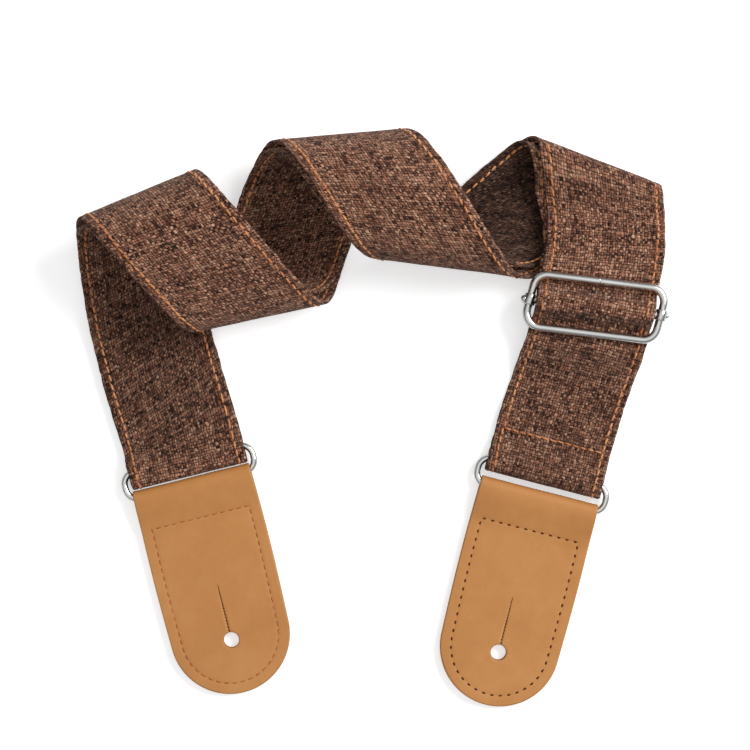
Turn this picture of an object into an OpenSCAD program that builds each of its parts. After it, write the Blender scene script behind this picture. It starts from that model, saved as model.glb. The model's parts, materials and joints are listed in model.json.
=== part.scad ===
// Guitar strap with leather ends, wire rings and an adjusting slider, lying in loose coils.
// Millimetres. +Z is up and the strap lies on the plane z = 0.
// The origin is the axis of the button hole in the left leather end, at table level.
// The woven strip is doubled: its first run and its return run lie on each other from the
// left ring to the slider, and one run goes on to the right ring.

/* [Strap] */
// Width of the woven strap
strap_w = 50.5; // [49:0.5:51]
// Thickness of one run, both plies
run_t = 1.6; // [1.4:0.1:1.6]
// Air between the two runs where they lie on each other
run_gap = 0.5; // [0.4:0.1:0.8]
// Distance of the edge seams from the strap's edges
seam_inset = 3.5; // [3:0.5:6]
// Width of an edge seam's thread
seam_w = 0.8; // [0.6:0.1:1]
// How far a seam's thread stands out of the fabric
seam_proud = 0.2; // [0.1:0.05:0.2]
// Sideways offset of the return run at the last crest
return_offset = 4.2; // [0:0.2:5]
// Strap length from the left ring to the slider bar
bar_at = 536.3; // [535.5:0.1:537]
// Strap length from the slider bar to the right ring
lower_len = 72.3; // [72:0.1:74]
// Strap length over which the coils are laid
coil_len = 531; // [529:0.5:533]

/* [First crest] */
// Distance of the bend from the left ring, along the strap
crest1_at = 123; // [118:0.5:128]
// Angle the strap turns through in the bend
crest1_turn = 181.7; // [176:0.1:187]
// Half of the bend's length along the strap
crest1_len = 48; // [42:1:52]
// Slant of the bend against a square fold
crest1_slant = 16.8; // [13:0.1:21]

/* [First lower fold] */
// Distance of the bend from the left ring, along the strap
fold1_at = 208; // [205:0.5:211]
// Angle the strap turns through in the bend
fold1_turn = 155.6; // [150:0.1:161]
// Half of the bend's length along the strap
fold1_len = 33; // [30:1:38]
// Slant of the bend against a square fold
fold1_slant = 30.5; // [26:0.1:34]

/* [Second crest] */
// Distance of the bend from the left ring, along the strap
crest2_at = 298.5; // [295:0.5:301]
// Angle the strap turns through in the bend
crest2_turn = 160.1; // [155:0.1:165]
// Half of the bend's length along the strap
crest2_len = 48; // [44:1:52]
// Slant of the bend against a square fold
crest2_slant = 25.3; // [21:0.1:29]

/* [Second lower fold] */
// Distance of the bend from the left ring, along the strap
fold2_at = 383; // [380:0.5:386]
// Angle the strap turns through in the bend
fold2_turn = 159.2; // [154:0.1:164]
// Half of the bend's length along the strap
fold2_len = 50; // [46:1:54]
// Slant of the bend against a square fold
fold2_slant = 41.6; // [38:0.1:44]
// How far the fold is pressed down beside the slider
fold2_press = 0.5; // [0.45:0.01:0.55]
// How far the strap past the fold is pressed down under the slider
pass2_press = 0.95; // [0.93:0.01:1]

/* [Third crest] */
// Distance of the bend from the left ring, along the strap
crest3_at = 471.8; // [471:0.1:473]
// Angle the strap turns through in the bend
crest3_turn = 215.7; // [212:0.1:222]
// Half of the bend's length along the strap
crest3_len = 22; // [21:1:25]
// Slant of the bend against a square fold
crest3_slant = 33.3; // [32:0.1:38]

/* [Passes between the bends] */
// Arch of the first lower pass, in degrees
arch0 = 7.7; // [3:0.1:12]
// Arch of the first upper pass
arch1 = 12.5; // [8:0.1:17]
// Arch of the second lower pass
arch2 = 6.8; // [3:0.1:11]
// Arch of the second upper pass
arch3 = 21.6; // [17:0.1:26]
// Arch of the third lower pass
arch4 = 13.2; // [12:0.1:19]
// Arch of the third upper pass, down to the slider
arch5 = -35.2; // [-37:0.1:-34]
// Sideways sway where the strap leaves the left ring, in degrees
sway_ring = 3.5; // [0:0.1:4]
// Sideways sway of the first lower pass, in degrees
sway0 = -12.7; // [-15:0.1:-8]
// Sideways sway of the first upper pass
sway1 = 0.5; // [-2:0.1:2]
// Sideways sway of the second lower pass
sway2 = -3.7; // [-5:0.1:0]
// Sideways sway of the second upper pass
sway3 = 1.4; // [-1:0.1:3]
// Sideways sway of the third lower pass
sway4 = -5.4; // [-6:0.1:-4.5]
// Sideways sway of the third upper pass
sway5 = 18.5; // [17.5:0.1:19.5]
// Sideways sway at the slider
sway_bar = 2.3; // [1.5:0.1:3]
// Slant of the strap where it leaves the left ring
slant_begin = 22; // [17:0.5:26]
// Slant of the strap above the slider
slant_end = -16; // [-17:0.5:-14]

/* [Leather ends] */
// Lean of the left leather end
left_lean = 14; // [12:0.5:16]
// Width of a leather end at the ring and at the round tip
leather_w = 51; // [50:0.5:51.5]
// How far each side of the leather bows out between them
leather_bow = 0.6; // [0:0.1:1]
// Thickness of one leather ply
leather_t = 1.9; // [1.6:0.1:1.9]
// Distance from the button hole to the rail of the ring in the leather's fold
hole_to_rail = 68; // [60:1:75]
// Distance of the tip's centre above the button hole
tip_centre = 2.5; // [1:0.5:5]
// Radius of the button hole
hole_r = 3.25; // [2.5:0.05:4]
// Length of the button slit
slit_len = 24; // [10:1:28]
// Distance of the stitching from the leather's edge
stitch_inset = 4.7; // [4:0.1:6]
// Spacing of the leather's stitches
stitch_pitch = 3.5; // [3:0.1:4]

/* [Rings] */
// Wire radius of the rings
ring_wire_r = 1.35; // [1.1:0.05:1.35]
// Distance between the two rails of a ring
ring_pitch = 11.4; // [11.4:0.1:13]
// Outer length of a ring
ring_len = 58.8; // [58.6:0.1:60]
// Corner radius of a ring, to the middle of the wire
ring_corner = 5; // [4:0.1:5.2]

/* [Slider] */
// Wire radius of the slider frame
frame_wire_r = 1.7; // [1.5:0.05:1.7]
// Wire radius of the slider's middle bar
bar_r = 1.65; // [1.4:0.05:1.65]
// Distance between the frame's two long rails
frame_pitch = 22.4; // [22.4:0.1:24]
// Distance between the frame's two side rails
frame_span = 55.1; // [55.1:0.1:57]
// Corner radius of the frame, to the middle of the wire
frame_corner = 6; // [4:0.5:7]
// Sideways shift of the strap in the slider, to the right
slider_shift = 2.2; // [0:0.1:2.6]
// Height the slider is raised by the fold it lies on
slider_rise = 5.4; // [5.4:0.05:6]
// Skew of the frame, in degrees
frame_skew = 8; // [0:1:9]
// Direction of the long rails, in degrees
slider_angle = -7; // [-9:0.5:-5]

/* [Hidden] */
$fn = 48;
fabric = "#6b4a3b";
thread = "#c8783c";
tan_leather = "#c38a53";
left_leather_stitching = "#b5763f";
right_leather_stitching = "#8a5a33";
steel = "#c9cbcd";

half_w = strap_w / 2;
half_t = run_t / 2;
ply_gap = 0.1;
table_gap = 0.1;                              // least air under a lower pass
// middle heights of stacked runs, the lowest first
level = [for (k = [0:2]) 0.15 + half_t + k * (run_t + 0.1)];

// the strap is followed in equal steps, about this long
wanted_step = 3.4;
total_len = bar_at + lower_len;
step_count = round(total_len / wanted_step);
step = total_len / step_count;

ring_z = 3.7;
rail_y = hole_to_rail + ring_pitch;           // the ring's rail that holds the strap
bight_in = 2;                                 // the strap's folds round the rings
bight_out = bight_in + run_t;
left_slack = 4;                               // how far a fold's axis lies short of the rail
right_slack = 2.1;

slider_z = slider_rise + level[2] + half_t + 0.1 + frame_wire_r;
loop_in = bar_r + 0.15;                       // the tail's loop round the bar
loop_out = loop_in + run_t;

// ---------- helpers ----------
function total(list, i = 0) = i < len(list) ? list[i] + total(list, i + 1) : 0;
function reversed(list) = [for (k = [len(list) - 1:-1:0]) list[k]];
function mix(a, b, share) = a + (b - a) * share;
function ease(t) = let (c = max(0, min(1, t))) c * c * (3 - 2 * c);
// rises smoothly from 0 at value = from to 1 at value = to, in either direction
function ramp(value, from, to) = ease((value - from) / (to - from));
// a smooth hump of the given area over centre - half_len .. centre + half_len
function hump(area, centre, half_len, dist) =
    let (t = (dist - centre) / half_len) abs(t) < 1 ? area / half_len * (1 + cos(180 * t)) / 2 : 0;
function spin(v, axis, angle) =
    v * cos(angle) + cross(axis, v) * sin(angle) + axis * (axis * v) * (1 - cos(angle));
// outline of a band about the given middle points
function band(mids, half) =
    concat([for (p = mids) p + [0, half]], reversed([for (p = mids) p - [0, half]]));

// a side view, drawn in y and z, made width wide about x = 0
module side_extrude(width)
    translate([-width / 2, 0, 0]) rotate([90, 0, 90]) linear_extrude(width) children();
module x_cylinder(length, radius)
    rotate([0, 90, 0]) cylinder(h = length, r = radius, center = true);
// a round stitch along x
module stitch(length = 2.5, radius = 0.4) x_cylinder(length, radius, $fn = 16);
module cross_row(pitch) for (k = [-6:6]) translate([pitch * k, 0, 0]) stitch();

// ---------- the coiled strap ----------
// Unrolled, the strap is straight. It is bent about slanted lines, so it can coil without
// creasing. dist is always the distance from the left ring along the strap.
// Columns: place, turn, half length, slant, extra gap between the runs
bends = [[crest1_at, crest1_turn, crest1_len, crest1_slant, 1.2],
         [fold1_at, fold1_turn, fold1_len, fold1_slant, 3.4],
         [crest2_at, crest2_turn, crest2_len, crest2_slant, 1.4],
         [fold2_at, fold2_turn, fold2_len, fold2_slant, 2.6],
         [crest3_at, crest3_turn, crest3_len, crest3_slant, 1.4]];
slant_knots = concat([[0, 0], [12, slant_begin]], [for (b = bends) [b[0], b[3]]],
                     [[coil_len - 12, slant_end], [coil_len, 0]]);
stops = concat([0], [for (b = bends) b[0]], [coil_len]);
arches = [arch0, arch1, arch2, arch3, arch4, arch5];
sways = [sway0, sway1, sway2, sway3, sway4, sway5];

// one hump over each pass, from stop to stop
function pass_humps(areas, dist) = total([for (j = [0:5])
    hump(areas[j], (stops[j] + stops[j + 1]) / 2, (stops[j + 1] - stops[j]) / 2, dist)]);
// the slant is a weighted mean of samples 5 mm apart
slant_weights = [for (t = [-5:5]) 1 + cos(30 * t)];
function slant(dist) = ramp(dist, 0, 16)
    * total([for (t = [-5:5]) slant_weights[t + 5] * lookup(dist + 5 * t, slant_knots)])
    / total(slant_weights);
// turn and sway in degrees per millimetre
function turn(dist) =
    total([for (b = bends) hump(b[1], b[0], b[2], dist)]) + pass_humps(arches, dist);
function sway(dist) = pass_humps(sways, dist)
    + hump(sway_bar, coil_len, 18, dist) + hump(sway_ring, 12, 12, dist);

// A station is a place on the surface between the runs, with its directions and slant.
// These are the indices of its parts. ACROSS points to the strap's left.
PLACE = 0;
ALONG = 1;
ACROSS = 2;
NORMAL = 3;
SLANT = 4;
function bend_axis(station) =
    sin(station[SLANT]) * station[ALONG] - cos(station[SLANT]) * station[ACROSS];
function next(station, dist) =
    let (axis = bend_axis(station), turned = turn(dist) * step, swayed = sway(dist) * step,
         ahead = spin(station[ALONG], axis, turned),
         aside = spin(station[ACROSS], axis, turned),
         along = ahead * cos(swayed) + aside * sin(swayed),
         across = aside * cos(swayed) - ahead * sin(swayed))
    [station[PLACE] + along * step, along, across,
     spin(station[NORMAL], axis, turned), slant(dist + step)];
start_z = 1.95;
start_along = [-sin(left_lean), cos(left_lean), 0];
start = [rail_y * start_along + [0, 0, start_z], start_along,
         cross([0, 0, 1], start_along), [0, 0, 1], slant(0)];
stations = [for (i = 0, st = start; i <= step_count; st = next(st, i * step), i = i + 1) st];

// the slider's place and the right ring's place follow from the strap
bar_station = floor(bar_at / step);
bar_pos = mix(stations[bar_station][PLACE], stations[bar_station + 1][PLACE],
              bar_at / step - bar_station);
bar_dir = [cos(slider_angle), sin(slider_angle)];   // along the bar, to the right
down = [sin(slider_angle), -cos(slider_angle)];     // square to the bar, to the right ring
right_pos = stations[step_count][PLACE];
right_along = stations[step_count][ALONG];
right_turn = atan2(right_along.y, right_along.x) + 90;   // turn of the right end's frame
// distance of a point from the bar's middle in a level direction
function from_bar(point, dir) =
    (point.x - bar_pos.x) * dir.x + (point.y - bar_pos.y) * dir.y;

// Heights of the runs at the slider. below is the distance from the bar along down.
bar_hump = slider_z + loop_out + 0.6 + half_t - slider_rise - level[2];
function main_z(below) = mix(slider_rise + level[2], level[0], ramp(below, 13, 35))
    + 0.5 * ramp(below, -22, -32) + bar_hump * ramp(abs(below), 8.1, 2.1);
return_z = slider_rise + level[1];
// share of its height the strap loses where the slider's stretch lies on it,
// side measured from the bar's middle to the right
function press(dist, side) = ramp(side, -43, -27)
    * mix(fold2_press, pass2_press, ramp(dist, fold2_at, fold2_at + 15))
    * ramp(dist, fold2_at - 50, fold2_at - 25) * ramp(dist, 455, 435);

// the runs' distances from the surface between them
main_off = -(run_gap + run_t) / 2;
function return_off(dist) = (run_gap + run_t) / 2
    + ramp(dist, 22, 2) * (2 * bight_in - run_gap)
    + total([for (b = bends) hump(b[4] * b[2], b[0], b[2], dist)]);

// shift of the strap to the right, round the slider
bar_reach = 36;                               // the slider's stretch, each way from the bar
function bar_side(dist) = ramp(dist, bar_at + bar_reach, bar_at + 12)
    * (slider_shift * ramp(dist, bar_at - 60, bar_at - 12)
       + 0.5 * ramp(dist, bar_at, bar_at + 10));
// distance along the strap, shift of the return run to the left
return_side_knots = [
    [0, 0], [crest1_at, 0.4], [fold1_at, 0.6], [crest2_at, 1.2], [fold2_at - 30, 1.6],
    [fold2_at, 1], [crest3_at - 30, 0.8], [crest3_at, 0.5 * return_offset],
    [crest3_at + 20, return_offset], [bar_at - 48, return_offset],
    [bar_at - 22, 0.2], [bar_at, 0.2]];

// A point of the strap at station i: across to the left, off along the normal from the
// run's middle. run is 0 for the first run and 1 for the return run.
rest_end = bar_at - 60;
function spot(i, across, off, run) =
    let (station = stations[i], normal = station[NORMAL], dist = i * step,
         shifted = across + (run == 1 ? lookup(dist, return_side_knots) : 0) - bar_side(dist),
         flat = station[PLACE] - bend_axis(station) * (shifted / cos(station[SLANT])),
         pressed = flat - [0, 0, max(0, flat.z - 2) * press(dist, from_bar(flat, bar_dir))],
         point = pressed + normal * ((run == 1 ? return_off(dist) : main_off) + off),
         // at the slider the heights are set by the distance from the bar
         below = from_bar(point, down),
         at_slider = ramp(dist, crest3_at, crest3_at + 12) * ramp(below, -54, -34),
         face_up = dist > (crest3_at + fold2_at) / 2 ? -1 : 1,
         slider_level = (run == 1 ? return_z : main_z(below)) + off * face_up,
         // a lower pass that would dip under the table rests on it
         lowest = pressed.z - normal.z * (run_gap / 2 + run_t + seam_proud),
         rest = normal.z > 0 && dist < rest_end ? max(0, table_gap - lowest) : 0)
    [point.x, point.y, mix(point.z, slider_level, at_slider) + rest];

// A closed strip between two stations. across and offs are [from, to] pairs.
// Both faces are split alike into cols columns.
module strip(first, last, across, offs, run, cols = 1) {
    rim = 2 * cols + 2;                       // points round one cross-section
    steps = last - first;
    end = rim * steps;                        // first point of the last cross-section
    // the first row is straight and a hair away from the strip before it
    point = function(i, c, off) i == first && i > 0
        ? mix(spot(i, across[0], off, run), spot(i, across[1], off, run), c / cols)
          + 0.12 * stations[i][ALONG]
        : spot(i, mix(across[0], across[1], c / cols), off, run);
    points = [for (i = [first:last]) each concat(
        [for (c = [0:cols]) point(i, c, offs[0])],
        [for (c = [cols:-1:0]) point(i, c, offs[1])])];
    start_faces = [for (c = [0:cols - 1])
        each [[c, c + 1, rim - 1 - c], [c + 1, rim - 2 - c, rim - 1 - c]]];
    long_faces = [for (k = [0:steps - 1]) each [for (j = [0:rim - 1])
        let (a = rim * k + j, b = rim * k + (j + 1) % rim)
        each (j > cols ? [[a, a + rim, b + rim], [a, b + rim, b]]
                       : [[a, a + rim, b], [b, a + rim, b + rim]])]];
    end_faces = [for (c = [0:cols - 1])
        each [[end + c + 1, end + c, end + rim - 1 - c],
              [end + rim - 2 - c, end + c + 1, end + rim - 1 - c]]];
    polyhedron(points = points, faces = concat(start_faces, long_faces, end_faces),
               convexity = 20);
}

top_station = floor((bar_at - bar_reach) / step);   // the slider's stretch begins
low_station = ceil((bar_at + bar_reach) / step);    // the straight lower strap begins
tail_station = floor((bar_at - 22) / step);         // the tail's loop begins
full_width = [-half_w, half_w];
full_run = [-half_t, half_t];
under_ply = [-half_t, -ply_gap / 2];
over_ply = [ply_gap / 2, half_t];

module coiled_ply(offs, run) strip(0, top_station, full_width, offs, run);
// side is 1 for the left edge and -1 for the right
module coiled_seam(side, run) {
    middle = side * (half_w - seam_inset);
    reach = half_t + seam_proud;
    strip(0, top_station, [middle - seam_w / 2, middle + seam_w / 2], [-reach, reach], run);
}

module main_run_face_ply() color(fabric) coiled_ply(under_ply, 0);
module main_run_back_ply() color(fabric) coiled_ply(over_ply, 0);
module main_run_left_seam() color(thread) coiled_seam(1, 0);
module main_run_right_seam() color(thread) coiled_seam(-1, 0);
module return_run_face_ply() color(fabric) coiled_ply(over_ply, 1);
module return_run_back_ply() color(fabric) coiled_ply(under_ply, 1);
module return_run_left_seam() color(thread) coiled_seam(1, 1);
module return_run_right_seam() color(thread) coiled_seam(-1, 1);
module main_run_over_bar() color(fabric)
    strip(top_station, low_station, full_width, full_run, 0, cols = 8);
module return_run_end() color(fabric)
    strip(top_station, tail_station, full_width, full_run, 1, cols = 8);

// ---------- frames of the two ends and the slider ----------
// In an end's frame the button hole is at the origin and +Y points to the ring.
module left_frame() rotate([0, 0, left_lean]) children();
module right_frame()
    translate([right_pos.x, right_pos.y, 0]) rotate([0, 0, right_turn])
        translate([0, -rail_y, 0]) children();
// In the slider's frame the bar lies on the x axis and +Y is up the strap.
slider_side = slider_shift + 0.4;
module slider_place()
    translate([bar_pos.x + slider_side * bar_dir.x, bar_pos.y + slider_side * bar_dir.y, slider_z])
        rotate([0, 0, slider_angle]) children();

// ---------- strap at the rings ----------
// a round fold of the strap about a rail, opening towards +Y
module ring_fold(slack)
    translate([0, rail_y - slack, ring_z]) rotate([0, 90, 0]) translate([0, 0, -half_w])
        difference() {
            union() {
                cylinder(h = strap_w, r = bight_out);
                translate([-bight_out, 0, 0]) cube([2 * bight_out, slack, strap_w]);
            }
            translate([0, 0, -1]) cylinder(h = strap_w + 2, r = bight_in);
            translate([-bight_in, 0, -1]) cube([2 * bight_in, slack + 10, strap_w + 2]);
            translate([-bight_out - 1, slack, -1])
                cube([2 * bight_out + 2, bight_out + 10, strap_w + 2]);
        }
module left_ring_fold() color(fabric) left_frame() translate([0, -0.08, 0])
    ring_fold(left_slack);

// middle heights of the single run and of its sewn hem, y from the right ring's rail
straight_len = (step_count - low_station) * step;
hem_len = 18;
function strap_mid(y) = y < 21
    ? mix(ring_z + bight_in + half_t, level[1], ramp(y, 0, 12))
    : mix(level[1], level[0], ramp(y, 21, 28));
function hem_mid(y) = mix(ring_z - bight_in - half_t, level[0], ramp(y, 0, 12));

module lower_strap() color(fabric) right_frame() {
    ring_fold(right_slack);
    translate([0, rail_y, 0]) side_extrude(strap_w) {
        polygon(band(concat([for (y = [0:1:28]) [y, strap_mid(y)]],
                            [[straight_len - 0.05, level[0]]]), half_t));
        polygon(band(concat([for (y = [0:1:12]) [y, hem_mid(y)]],
                            [[hem_len, level[0]]]), half_t));
    }
}

edge_pitch = 3.4;
module lower_strap_edge_seams() color(thread) right_frame() translate([0, rail_y, 0])
    for (side = [-1, 1], k = [0:floor((straight_len - 6) / edge_pitch)]) {
        y = edge_pitch * (k + 1);
        slope = atan2(strap_mid(y + 1) - strap_mid(y - 1), 2);
        translate([side * (half_w - seam_inset), y, strap_mid(y) + half_t])
            rotate([slope, 0, 0]) rotate([0, 0, 90]) stitch();
    }
module lower_strap_cross_seam() color(thread) right_frame()
    translate([0, rail_y + 13.7, level[1] + half_t]) cross_row(3.3);

// ---------- tail: the sewn end of the return run, round the bar ----------
// Heights are from the bar's axis. side is 1 for the upper ply and -1 for the lower.
function tail_mid(y, side) = mix(slider_rise + level[side > 0 ? 1 : 0] - slider_z,
                                 side * (loop_in + half_t), ramp(y, 8.3, 0.3));
// half of the ply's thickness, measured upright where the ply slopes
function tail_half(y, side) =
    let (slope = (tail_mid(y + 0.1, side) - tail_mid(y - 0.1, side)) / 0.2)
    half_t * sqrt(1 + slope * slope);
// upper (face = 1) or lower (face = -1) line of a ply, from the bar to y = end
function tail_line(side, face, end) =
    [for (y = [0:0.75:end]) [y, tail_mid(y, side) + face * tail_half(y, side)]];

module tail_loop() color(fabric) slider_place() difference() {
    union() {
        x_cylinder(strap_w, loop_out);
        for (side = [-1, 1]) side_extrude(strap_w)
            polygon(concat(tail_line(side, 1, 18), reversed(tail_line(side, -1, 18))));
    }
    x_cylinder(strap_w + 2, loop_in);
    // between the plies
    side_extrude(strap_w + 2)
        polygon(concat(tail_line(1, -1, 18.75), reversed(tail_line(-1, 1, 18.75))));
}
module tail_seam() color(thread) slider_place()
    translate([0, 15, return_z + half_t - 0.32 - slider_z]) cross_row(3.4);

// ---------- wire parts ----------
rod_over = 0.2;                               // how far a rod runs over a bend's end
bend_thinner = 0.02;                          // a bend is a hair thinner than the rods
module rod(from, to, radius, over = 0) {
    way = to - from;
    translate(from) rotate([0, 0, atan2(way.y, way.x)]) rotate([0, 90, 0])
        translate([0, 0, -over]) cylinder(h = norm(way) + 2 * over, r = radius);
}
module wire_bend(centre, from, angle, bend_r, wire_r)
    translate(centre) rotate([0, 0, from]) rotate_extrude(angle = angle)
        translate([bend_r, 0]) circle(r = wire_r - bend_thinner);

// The slider's frame is a parallelogram. Its side rails cross the x axis at +-side_x.
side_x = frame_span / 2 / cos(frame_skew);
half_pitch = frame_pitch / 2;
half_side = half_pitch / cos(frame_skew);
// straight wire lost to the bend at a sharp and at a blunt corner
sharp_cut = frame_corner * tan((90 + frame_skew) / 2);
blunt_cut = frame_corner * tan((90 - frame_skew) / 2);
// a point on the right (1) or left (-1) side rail, reach up the rail from the x axis
function on_side(side, reach) =
    [side * side_x + reach * sin(frame_skew), reach * cos(frame_skew), 0];

module slider_frame() color(steel) slider_place() for (m = [0, 1]) rotate([0, 0, 180 * m]) {
    left_x = on_side(-1, half_side).x + blunt_cut;
    right_x = on_side(1, half_side).x - sharp_cut;
    bend_y = half_pitch - frame_corner;
    rod([left_x, half_pitch, 0], [right_x, half_pitch, 0], frame_wire_r, rod_over);
    rod(on_side(1, half_side - sharp_cut), on_side(1, blunt_cut - half_side),
        frame_wire_r, rod_over);
    wire_bend([right_x, bend_y, 0], -frame_skew, 90 + frame_skew, frame_corner, frame_wire_r);
    wire_bend([left_x, bend_y, 0], 90, 90 - frame_skew, frame_corner, frame_wire_r);
}

// a length of side rail, reach each way from the x axis
module side_rod(side, reach, radius) rod(on_side(side, -reach), on_side(side, reach), radius);
// the bar ends in sleeves round the side rails
module slider_bar() color(steel) slider_place() difference() {
    union() {
        rod([-side_x, 0, 0], [side_x, 0, 0], bar_r);
        for (side = [-1, 1]) side_rod(side, 2.3, frame_wire_r + 0.55);
    }
    for (side = [-1, 1]) side_rod(side, 8, frame_wire_r + 0.1);
}

module ring() {
    x = ring_len / 2 - ring_wire_r - ring_corner;   // centres of the corner bends
    y = ring_pitch / 2 - ring_corner;
    side_rail_x = x + ring_corner;
    translate([0, hole_to_rail + ring_pitch / 2, ring_z])
        for (m = [0, 1]) rotate([0, 0, 180 * m]) {
            rod([-x, ring_pitch / 2, 0], [x, ring_pitch / 2, 0], ring_wire_r, rod_over);
            rod([side_rail_x, -y, 0], [side_rail_x, y, 0], ring_wire_r, rod_over);
            wire_bend([x, y, 0], 0, 90, ring_corner, ring_wire_r);
            wire_bend([-x, y, 0], 90, 90, ring_corner, ring_wire_r);
        }
}
module left_ring() color(steel) left_frame() ring();
module right_ring() color(steel) right_frame() ring();

// ---------- leather ends ----------
// The leather is doubled: the front ply lies on the back ply, with a fold round the ring.
tip_r = leather_w / 2;
leather_in = ring_wire_r + 0.15;
leather_out = leather_in + leather_t;
leather_top = hole_to_rail + leather_out;
slit_w = 0.4;
function fold_share(y) = ramp(y, hole_to_rail - 18, hole_to_rail - 1);
function front_mid(y) =
    mix(1.5 * leather_t + 0.1, ring_z + leather_in + leather_t / 2, fold_share(y));
function back_mid(y) = mix(leather_t / 2, ring_z - leather_in - leather_t / 2, fold_share(y));
// half width, t from 0 at the tip's centre to 1 at the top
function side_half(t) = tip_r + leather_bow * sin(180 * t);
function side_y(t) = mix(tip_centre, leather_top + 0.1, t);

leather_ys = concat([for (y = [-26:2:40]) y], [for (y = [-24:1.5:-1.5]) hole_to_rail + y]);
function front_line(off) = [for (y = leather_ys) [y, front_mid(y) + off]];
function back_line(off) = [for (y = leather_ys) [y, back_mid(y) + off]];
function fold_arc(radius) = [for (a = [-90:7.5:90])
    [hole_to_rail + radius * cos(a), ring_z + radius * sin(a)]];

module leather_end() difference() {
    intersection() {
        // plan
        translate([0, 0, -2]) linear_extrude(20) polygon(concat(
            [for (t = [1:-0.05:0.04]) [-side_half(t), side_y(t)]],
            [for (a = [180:5:360]) [tip_r * cos(a), tip_centre + tip_r * sin(a)]],
            [for (t = [0.05:0.05:1.01]) [side_half(t), side_y(t)]]));
        // side view
        side_extrude(80) polygon(concat(
            back_line(-leather_t / 2), fold_arc(leather_out), reversed(front_line(leather_t / 2)),
            front_line(-leather_t / 2), reversed(fold_arc(leather_in)),
            reversed(back_line(leather_t / 2))));
    }
    // flares at the ends of the fold, for the ring's round corners
    for (m = [0, 1]) mirror([m, 0, 0]) translate([20, hole_to_rail, ring_z]) rotate([0, 90, 0])
        cylinder(h = 6.5, r1 = leather_in - 0.05, r2 = leather_in + 1.2);
    translate([0, 0, -1]) cylinder(h = 12, r = hole_r);
    // button slit, towards the ring
    translate([-slit_w / 2, 0, -1]) cube([slit_w, slit_len, 12]);
}

// stitching: a closed line round the front ply, with a straight row across below the ring
row_y = leather_top - 17.5;
stitch_line_r = tip_r - stitch_inset;
module leather_stitch(x, y, angle) {
    slope = atan2(front_mid(y + 1) - front_mid(y - 1), 2);
    translate([x, y, front_mid(y) + leather_t / 2 - 0.1]) rotate([slope, 0, 0])
        rotate([0, 0, angle]) stitch(stitch_pitch * 0.62, 0.3);
}
module leather_thread() {
    side_len = row_y - tip_centre;
    side_count = round(side_len / stitch_pitch);
    tip_count = round(PI * stitch_line_r / stitch_pitch);
    row_count = round(2 * stitch_line_r / stitch_pitch);
    for (side = [-1, 1], k = [0:side_count - 1]) {
        t = (k + 0.5) / side_count;
        x = side_half(t * side_len / (leather_top - tip_centre)) - stitch_inset;
        leather_stitch(side * x, mix(tip_centre, row_y, t), 90);
    }
    for (k = [0:tip_count - 1]) {
        a = 180 + 180 * (k + 0.5) / tip_count;
        leather_stitch(stitch_line_r * cos(a), tip_centre + stitch_line_r * sin(a), a + 90);
    }
    for (k = [0:row_count - 1])
        leather_stitch(mix(-stitch_line_r, stitch_line_r, (k + 0.5) / row_count), row_y, 0);
}
module left_leather_end() color(tan_leather) left_frame() leather_end();
module left_leather_thread() color(left_leather_stitching) left_frame() leather_thread();
module right_leather_end() color(tan_leather) right_frame() leather_end();
module right_leather_thread() color(right_leather_stitching) right_frame() leather_thread();

main_run_face_ply();
main_run_back_ply();
main_run_left_seam();
main_run_right_seam();
return_run_face_ply();
return_run_back_ply();
return_run_left_seam();
return_run_right_seam();
left_ring_fold();
main_run_over_bar();
return_run_end();
lower_strap();
lower_strap_edge_seams();
lower_strap_cross_seam();
tail_loop();
tail_seam();
slider_bar();
slider_frame();
left_ring();
right_ring();
left_leather_end();
left_leather_thread();
right_leather_end();
right_leather_thread();
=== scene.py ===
"""A brown woven strap with tan leather ends, wire rings and a wire slider, folded up on the floor.

The floor is z = 0 and the hole of the left leather end is at the origin. That end points along +Y,
leaning towards -X. The strap leaves its ring, winds through three crests and two folds, passes over
the slider's bar and ends at the right ring and leather end. A second, return run follows the first
from the left ring and ends in a loop round the bar. Lengths are in mm and angles in degrees unless
said otherwise; meshes are scaled to metres when they are made.
"""

import json
import math

import bmesh
import bpy
import numpy as np
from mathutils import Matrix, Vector, geometry


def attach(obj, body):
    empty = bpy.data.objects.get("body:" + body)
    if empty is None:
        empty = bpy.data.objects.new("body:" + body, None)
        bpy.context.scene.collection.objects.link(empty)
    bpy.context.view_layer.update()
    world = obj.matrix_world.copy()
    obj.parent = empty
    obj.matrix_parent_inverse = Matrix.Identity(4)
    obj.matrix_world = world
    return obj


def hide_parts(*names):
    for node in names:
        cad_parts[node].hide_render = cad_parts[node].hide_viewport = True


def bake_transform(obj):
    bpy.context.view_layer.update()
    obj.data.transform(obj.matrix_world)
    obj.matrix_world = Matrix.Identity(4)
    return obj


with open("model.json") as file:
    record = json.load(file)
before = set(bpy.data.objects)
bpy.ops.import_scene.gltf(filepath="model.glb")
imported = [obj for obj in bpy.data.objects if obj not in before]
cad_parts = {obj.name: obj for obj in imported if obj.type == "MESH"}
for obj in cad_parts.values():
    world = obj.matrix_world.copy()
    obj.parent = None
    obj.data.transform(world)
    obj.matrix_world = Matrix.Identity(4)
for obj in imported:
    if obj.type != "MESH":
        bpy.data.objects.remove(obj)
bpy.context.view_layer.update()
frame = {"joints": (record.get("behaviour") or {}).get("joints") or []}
MM = 0.001

# ------------------------------------------------------------------------------------------
# Driving dimensions
# ------------------------------------------------------------------------------------------
STRAP_W = 50.5
RUN_T = 1.6              # thickness of a run
RUN_GAP = 0.5            # between the two runs
SEAM_INSET = 3.5         # seam from the strap's edge
SEAM_PROUD = 0.2
RETURN_OFFSET = 4.2      # sideways shift of the return run after the third crest
BAR_AT = 536.3           # along the strap, from the left ring to the slider's bar
LOWER_LEN = 72.3         # from the bar to the right ring
COIL_LEN = 531

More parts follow.
